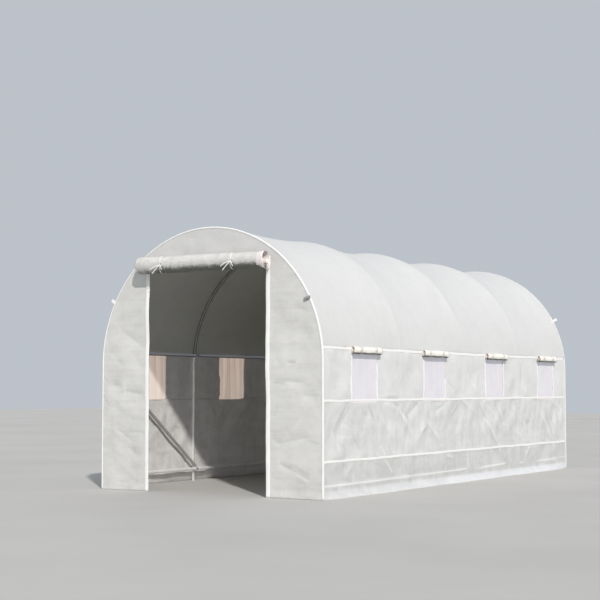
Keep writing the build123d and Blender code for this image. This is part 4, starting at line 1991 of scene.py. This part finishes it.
@dataclass
class RolledDoor:
    """The door, rolled up over the doorway and tied in two places."""

    plan: TunnelPlan
    ties: tuple[float, ...]
    shift: float = -0.017
    roll: Roll = Roll(
        radius=0.0648,
        core=0.016,
        turns=7.2,
        half_length=0.578,
        flange=0.034,
        relief=Relief((), slack=0.0016, seed=21, longest=0.30, shortest=0.05),
        pinches=(),
        pinch=0.0035,
        flare=0.006,
        collar=0.890,
        recess=0.030,
        rounded=0.008,
        taper=-0.0035,
        rise=(0.0100, 0.0065, 0.0065, 0.0035, -0.0015),
        slide=0.006,
        depth=0.88,
        around=30,
    )

    @classmethod
    def from_frame(cls, plan: TunnelPlan) -> RolledDoor:
        """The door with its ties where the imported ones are.

        Args:
            plan: The tunnel's plan.

        Returns:
            The door.
        """
        low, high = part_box("door_ties")
        return cls(plan, (low.x + 0.034, high.x + 0.014))

    def build(self) -> None:
        """Makes the rolled door and its ties."""
        wall = self.plan.front - 0.003
        roll = replace(self.roll, pinches=tuple(tie - self.shift for tie in self.ties))

        def place(along: Array, out: Array, up: Array) -> Array:
            """Puts points of the roll over the doorway."""
            return stacked(along + self.shift, wall - out, self.plan.door_top + up)

        piece = roll.grid(place).piece("rolled_door", 0.0007, DOOR_CLOTH)
        dress(piece, DOOR_CLOTH, "door_roll")
        for number, x in enumerate(self.ties, 1):
            share = (x - self.shift) / roll.half_length
            radius = roll.radius + roll.taper * share - roll.pinch + 0.0012
            bow = TieBow(radius, 0.0065, 0.092, 0.024, -0.08, RIBBON, lean=-0.018).build(f"door_tie_{number}")
            middle = self.plan.door_top + float(roll.risen(share))
            bow.data.transform(Matrix.Diagonal((1, roll.depth, 1, 1)))
            bow.location = (x, wall - roll.depth * roll.radius, middle)
            settle(bow)
            dress(bow, RIBBON, "door_ties")


@dataclass
class WindowSet:
    """One side's windows: a net behind each opening, and over it the flap, rolled up and tied."""

    shape: WallShape
    net_step: float = 0.012
    drop: float = 0.0125
    flap_half: float = 0.201
    flap_shifts: tuple[float, ...] = (0.002, -0.014, 0.010, -0.006)
    flap_depth: float = 0.71
    roll_radius: float = 0.0305

    def net(self, number: int, window: float) -> None:
        """Makes a window's net.

        Args:
            number: The window's number from the front.
            window: Its place along the tunnel.
        """
        shape, plan = self.shape, self.shape.plan
        half = plan.window_half + NET_LAP
        y = spread([window - half, window + half], self.net_step)[:, None]
        level = spread([plan.window_seam - NET_LAP, plan.seam_level], self.net_step)[None]
        across, up = (y - window) / half, (level - plan.window_seam) / (plan.seam_level - plan.window_seam)
        relief = Relief((), slack=0.0013, seed=40 + number, longest=0.3, shortest=0.06)
        edge = np.clip(1 - np.abs(across), 0, 0.25) * 4 * np.clip(np.minimum(up, 1 - up) * 5, 0, 1)
        sink = -0.0022 + (relief.height(y, level) - 0.0012) * edge
        outward = shape.outward(y, level)
        points = shape.place(y, level) - outward * (shape.lift(y, level) - sink)[..., None]
        side = shape.side.label
        grid = SheetGrid(points, stacked(y - window, level), outward)
        piece = grid.piece(f"window_net_{side}_{number}", 0.0005, NET, NET_INSIDE)
        dress(piece, NET, f"window_nets_{side}")

    def flap(self, number: int, window: float) -> None:
        """Makes a window's rolled flap and its ties.

        Args:
            number: The window's number from the front.
            window: Its place along the tunnel.
        """
        shape, plan = self.shape, self.shape.plan
        way = shape.side.value
        seed = 60 + number + 10 * way
        draw = np.random.default_rng(seed)
        ties = (-0.105 + 0.012 * draw.standard_normal(), 0.105 + 0.012 * draw.standard_normal())
        roll = Roll(
            radius=self.roll_radius,
            core=0.006,
            turns=3.6 + 0.15 * draw.random(),
            half_length=self.flap_half,
            flange=self.drop + 0.008,
            relief=Relief((), slack=0.0012, seed=seed, longest=0.16, shortest=0.035),
            pinches=ties,
            pinch=0.0022,
            flare=0.0012,
            depth=self.flap_depth,
            around=24,
            step=0.0105,
        )
        middle = window + self.flap_shifts[number - 1]
        angle = plan.seam_angle
        seat = plan.radius + 0.0022
        base_x = seat * math.cos(angle) + self.drop * math.sin(angle)
        base_z = plan.spring + seat * math.sin(angle) - self.drop * math.cos(angle)

        def place(along: Array, out: Array, up: Array) -> Array:
            """Puts points of the roll on the wall, along its slope.

            Args:
                along: The points' places along the roll.
                out: How far out from the wall they are.
                up: How far up they are from the roll's middle.

            Returns:
                The points.
            """
            x = base_x + out * math.cos(angle) - up * math.sin(angle)
            z = base_z + out * math.sin(angle) + up * math.cos(angle)
            return stacked(way * x, middle + along, z)

        side = shape.side.label
        piece = roll.grid(place).piece(f"window_flap_{side}_{number}", 0.0006, FLAP_CLOTH)
        dress(piece, FLAP_CLOTH, f"window_rolls_{side}")
        bows = []
        turn = Matrix.Rotation(math.radians(90 * way), 4, "Z")
        out = roll.radius * roll.depth
        x, z = base_x + out * math.cos(angle), base_z + out * math.sin(angle)
        for tie in ties:
            bow = TieBow(roll.radius - roll.pinch + 0.001, 0.007, 0.024, 0.010, 0.30, FLAP_RIBBON).build("flap_tie")
            bow.data.transform(Matrix.Diagonal((1, roll.depth, 1, 1)))
            bow.data.transform(Matrix.Translation((way * x, middle + tie, z)) @ turn)
            bows.append(bow)
        dress(joined(f"window_flap_ties_{side}_{number}", bows), FLAP_RIBBON)

    def build(self) -> None:
        """Makes the nets and flaps of all the windows."""
        for number, window in enumerate(self.shape.plan.windows, 1):
            self.net(number, window)
            self.flap(number, window)


# The steel frame


@dataclass
class SteelFrame:
    """The hoops, rails and corner braces, with the joints and clips that hold them together."""

    plan: TunnelPlan
    sides: int = 20
    bend_steps: int = 72
    end_clip_shift: float = 0.010
    end_gap: float = 0.004
    brace_drop: float = 0.061
    brace_foot_drop: float = 0.004
    wall: float = 0.0014
    bore_depth: float = 0.03
    clip_size: tuple[float, float, float] = (0.034, 0.040, 0.028)
    clip_middle: float = -0.003
    clip_corner: float = 0.010
    bolt_size: tuple[float, float] = (0.0052, 0.0044)
    bolt_middle: float = -0.0190
    washer_size: tuple[float, float] = (0.0076, 0.0012)
    washer_middle: float = -0.0173
    sleeve_length: float = 0.055
    sleeve_over: float = 0.0006
    rivet_radius: float = 0.0042

    def hoop(self, number: int, place: float) -> None:
        """Makes a hoop: a ring extruded up a leg, spun over the arch and extruded down the other leg.

        Args:
            number: The hoop's number from the front.
            place: Its place along the tunnel.
        """
        plan = self.plan
        clear_selection()
        bpy.ops.mesh.primitive_circle_add(
            vertices=self.sides, radius=plan.tube, fill_type="NOTHING", location=(plan.hoop_radius, place, 0)
        )
        tube = bpy.context.object
        tube.name = f"hoop_{number}"
        settle(tube)
        bpy.ops.object.mode_set(mode="EDIT")
        bpy.ops.mesh.select_all(action="SELECT")
        bpy.ops.mesh.extrude_region_move(TRANSFORM_OT_translate={"value": (0, 0, plan.spring)})
        bpy.ops.mesh.spin(steps=self.bend_steps, angle=math.pi, center=(0, place, plan.spring), axis=(0, 1, 0))
        bpy.ops.mesh.extrude_region_move(TRANSFORM_OT_translate={"value": (0, 0, -plan.spring)})
        bpy.ops.mesh.select_all(action="SELECT")
        bpy.ops.mesh.remove_doubles(threshold=1e-5)
        bpy.ops.mesh.fill_holes(sides=self.sides)
        bpy.ops.mesh.normals_make_consistent(inside=False)
        bpy.ops.object.mode_set(mode="OBJECT")
        tube.data.materials.append(STEEL.material())
        bpy.ops.object.shade_smooth_by_angle(angle=math.radians(40))
        dress(tube, STEEL, "hoop_legs", "hoop_arches")

    def straight(self, name: str, start: Vector, end: Vector, finish: Finish, *nodes: str) -> None:
        """Makes a straight tube with open ends.

        Args:
            name: The piece's name.
            start: The middle of one end.
            end: The middle of the other end.
            finish: Its finish.
            nodes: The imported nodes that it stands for.
        """
        run = end - start
        clear_selection()
        bpy.ops.mesh.primitive_cylinder_add(vertices=self.sides, radius=self.plan.tube, depth=run.length)
        tube = bpy.context.object
        tube.name = name
        for way in (-1, 1):
            bpy.ops.object.mode_set(mode="OBJECT")
            for part in (tube.data.vertices, tube.data.edges, tube.data.polygons):
                part.foreach_set("select", np.zeros(len(part), dtype=bool))
            for face in tube.data.polygons:
                face.select = face.normal.z * way > 0.9 and abs(face.center.z) > run.length / 2 - 1e-4
            bpy.ops.object.mode_set(mode="EDIT")
            bpy.ops.mesh.select_mode(type="FACE")
            bpy.ops.mesh.inset(thickness=self.wall)
            bpy.ops.mesh.extrude_region_move(TRANSFORM_OT_translate={"value": (0, 0, -self.bore_depth * way)})
        bpy.ops.object.mode_set(mode="OBJECT")
        tube.data.materials.append(finish.material())
        tube.rotation_mode = "QUATERNION"
        tube.rotation_quaternion = run.to_track_quat("Z", "Y")
        tube.location = (start + end) / 2
        settle(tube)
        bpy.ops.object.shade_smooth_by_angle(angle=math.radians(40))
        dress(tube, finish, *nodes)

    def clip(self) -> Piece:
        """One clip at the origin, round a rail along y, with the hoop above it and a bolt below.

        Returns:
            The clip.
        """
        clear_selection()
        bpy.ops.mesh.primitive_cube_add(size=1, location=(0, 0, self.clip_middle))
        block = bpy.context.object
        block.scale = self.clip_size
        settle(block)
        bpy.ops.object.mode_set(mode="OBJECT")
        for edge in block.data.edges:
            a, b = (block.data.vertices[i].co for i in edge.vertices)
            edge.select = a.z < -0.01 and b.z < -0.01 and abs(a.x - b.x) < 1e-6
        for face in block.data.polygons:
            face.select = False
        bpy.ops.object.mode_set(mode="EDIT")
        bpy.ops.mesh.select_mode(type="EDGE")
        bpy.ops.mesh.bevel(offset=self.clip_corner, segments=5, affect="EDGES")
        bpy.ops.object.mode_set(mode="OBJECT")
        block.data.materials.append(CLIP.material())
        bevelled(block, 0.0014)
        fastenings = ((6, self.bolt_size, self.bolt_middle), (24, self.washer_size, self.washer_middle))
        parts = [block]
        for corners, (radius, height), middle in fastenings:
            bpy.ops.mesh.primitive_cylinder_add(
                vertices=corners, radius=radius, depth=height, location=(0, 0, middle)
            )
            parts.append(bpy.context.object)
        for part in parts[1:]:
            settle(part)
            part.data.materials.append(ZINC.material())
            bevelled(part, 0.0005)
        made = joined("clip", parts)
        take(made)
        bpy.ops.object.shade_smooth_by_angle(angle=math.radians(35))
        return made

    def clips(self, name: str, x: float, z: float, lean: float, node: str) -> None:
        """Makes the clips of one rail.

        Args:
            name: The piece's name.
            x: The rail's place across the tunnel.
            z: Its height.
            lean: The angle of the direction to the hoops, above x.
            node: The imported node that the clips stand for.
        """
        hoops = self.plan.hoops
        turn = Matrix.Rotation(math.pi / 2 - lean, 4, "Y")
        halved = {hoops[0]: self.end_clip_shift, hoops[-1]: -self.end_clip_shift}
        places = []
        for hoop in hoops:
            at = Matrix.Translation((x, hoop + halved.get(hoop, 0.0), z))
            places.append(at @ turn @ Matrix.Diagonal((1, 0.5 if hoop in halved else 1.0, 1, 1)))
        dress(joined(name, copied(self.clip(), places)), CLIP, node)

    def sleeves(self) -> None:
        """Makes the swaged joints of the hoops, each with its bolt head, as rings a little wider than the tube."""
        plan = self.plan
        clear_selection()
        radius = plan.tube + self.sleeve_over
        bpy.ops.mesh.primitive_cylinder_add(vertices=self.sides, radius=radius, depth=self.sleeve_length)
        sleeve = bpy.context.object
        sleeve.data.materials.append(STEEL.material())
        bevelled(sleeve, 0.0005)
        bpy.ops.mesh.primitive_uv_sphere_add(
            segments=12, ring_count=8, radius=self.rivet_radius, location=(-plan.tube, 0, 0)
        )
        bolt = bpy.context.object
        bolt.scale = (0.6, 1, 1)
        settle(bolt)
        bolt.data.materials.append(ZINC.material())
        model = joined("sleeve", [sleeve, bolt])
        take(model)
        bpy.ops.object.shade_smooth_by_angle(angle=math.radians(40))
        angles = (0, math.pi / 3, 2 * math.pi / 3, math.pi)
        places = [plan.on_arch(hoop, angle, plan.hoop_radius) for hoop in plan.hoops for angle in angles]
        dress(joined("hoop_joints", copied(model, places)), STEEL)

    def build(self) -> None:
        """Makes the frame."""
        plan = self.plan
        for number, place in enumerate(plan.hoops, 1):
            self.hoop(number, place)
        self.sleeves()
        near, far = plan.front + self.end_gap, plan.back - self.end_gap
        low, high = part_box("side_rail_right")
        side_x = (low.x + high.x) / 2
        lines = {"ridge_rail": (0.0, plan.ridge_rail, STEEL)}
        for side in Side:
            lines[f"side_rail_{side.label}"] = (side.value * side_x, plan.side_rail, RAIL)
            lines[f"ground_rail_{side.label}"] = (side.value * plan.rail, plan.ground_rail, GROUND_RAIL)
        for name, (x, z, finish) in lines.items():
            self.straight(f"{name}_tube", Vector((x, near, z)), Vector((x, far, z)), finish, name)
        low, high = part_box("ground_rail_back")
        middle_y = (low.y + high.y) / 2
        ends = (Vector((low.x, middle_y, plan.ground_rail)), Vector((high.x, middle_y, plan.ground_rail)))
        self.straight("ground_rail_back_tube", *ends, GROUND_RAIL, "ground_rail_back")
        for side in Side:
            low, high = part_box(f"braces_{side.label}")
            inner, outer = sorted((abs(low.x), abs(high.x)))
            top_x, foot_x = inner + plan.tube, outer - plan.tube
            top_z, foot_z = high.z - self.brace_drop, low.z - self.brace_foot_drop
            for number, (top_y, foot_y) in enumerate((plan.hoops[:2], plan.hoops[:-3:-1]), 1):
                start = Vector((side.value * top_x, top_y, top_z))
                end = Vector((side.value * foot_x, foot_y, foot_z))
                self.straight(f"brace_{side.label}_{number}", start, end, BRACE, f"braces_{side.label}")
        self.clips("ridge_clips", 0.0, plan.ridge_rail, math.pi / 2, "ridge_clamps")
        for side in Side:
            lean = math.asin((plan.side_rail - plan.spring) / plan.rail)
            ground = 0.0
            if side is Side.LEFT:
                lean, ground = math.pi - lean, math.pi
            x, name = side.value, side.label
            self.clips(f"side_clips_{name}", x * side_x, plan.side_rail, lean, f"side_clamps_{name}")
            self.clips(f"ground_clips_{name}", x * plan.rail, plan.ground_rail, ground, f"ground_clamps_{name}")


# The surroundings


@dataclass
class Studio:
    """A plain floor, a soft sun, an even sky and the camera."""

    lens: float = 79.63
    camera_place: tuple[float, float, float] = (5.8515, -10.0249, 0.7715)
    camera_pitch: float = math.pi / 2 + 0.0666
    camera_turn: float = 0.5713
    to_sun: tuple[float, float, float] = (1.05, -1.0, 1.09)
    sun_strength: float = 2.95
    sun_colour: Colour = (1.0, 0.968, 0.925)
    sun_width: float = math.radians(2.0)
    sky: Colour = (0.625, 0.668, 0.725)
    sky_strength: float = 0.81
    floor_size: float = 60

    def build(self) -> None:
        """Makes the surroundings."""
        clear_selection()
        bpy.ops.mesh.primitive_plane_add(size=self.floor_size)
        floor = bpy.context.object
        floor.name = "floor"
        floor.data.materials.append(FLOOR.material())
        bpy.ops.object.mode_set(mode="EDIT")
        bpy.ops.mesh.subdivide(number_cuts=5)
        bpy.ops.object.mode_set(mode="OBJECT")
        world = bpy.data.worlds.new("sky")
        world.use_nodes = True
        backdrop = world.node_tree.nodes["Background"]
        backdrop.inputs["Color"].default_value = (*self.sky, 1)
        backdrop.inputs["Strength"].default_value = self.sky_strength
        bpy.context.scene.world = world
        bpy.ops.object.light_add(type="SUN")
        sun = bpy.context.object
        sun.name = "sun"
        sun.data.energy = self.sun_strength
        sun.data.angle = self.sun_width
        sun.data.color = self.sun_colour
        sun.rotation_mode = "QUATERNION"
        sun.rotation_quaternion = Vector(self.to_sun).to_track_quat("Z", "Y")
        bpy.ops.object.camera_add(location=self.camera_place, rotation=(self.camera_pitch, 0, self.camera_turn))
        camera = bpy.context.object
        camera.name = "camera"
        camera.data.lens = self.lens
        bpy.context.scene.camera = camera
        bpy.context.scene.view_settings.view_transform = "Standard"
        log.info("studio: floor, sky, sun and camera")


def main() -> None:
    """Builds the tunnel from the ground up and reports each piece."""
    logging.basicConfig(level=logging.INFO, format="%(name)s: %(message)s")
    plan = TunnelPlan.from_frame()
    Studio().build()
    SteelFrame(plan).build()
    RoofSheet(plan).build()
    walls = [WallShape.of(plan, side) for side in Side]
    for wall in walls:
        SideWall(wall).build()
        WallTapes(wall).build()
    slack = Relief(FRONT_CREASES, slack=0.0042, seed=31, longest=0.7, shortest=0.12)
    front = EndShape(plan, plan.front, -1, slack, door_shifts=(-0.020, -0.003))
    back = EndShape(plan, plan.back, 1, Relief(BACK_CREASES, slack=0.0055, seed=32, longest=0.8, shortest=0.14))
    panels = ("front_panel_left", "front_panel_right", "front_panel_over_door")
    EndSheet(front, "front_sheet", panels, doorway=True).build()
    EndSheet(back, "back_sheet", ("back_panel",), doorway=False, step=0.0165).build()
    DoorwayTape(front).build()
    EdgePiping(plan, plan.front, -1, "edge_binding_front").build()
    EdgePiping(plan, plan.back, 1, "edge_binding_back", return_lap=0.007, finish=BACK_PIPING).build()
    GuyLoops(plan).build()
    for wall in walls:
        WindowSet(wall).build()
    RolledDoor.from_frame(plan).build()


if __name__ == "__main__":
    main()
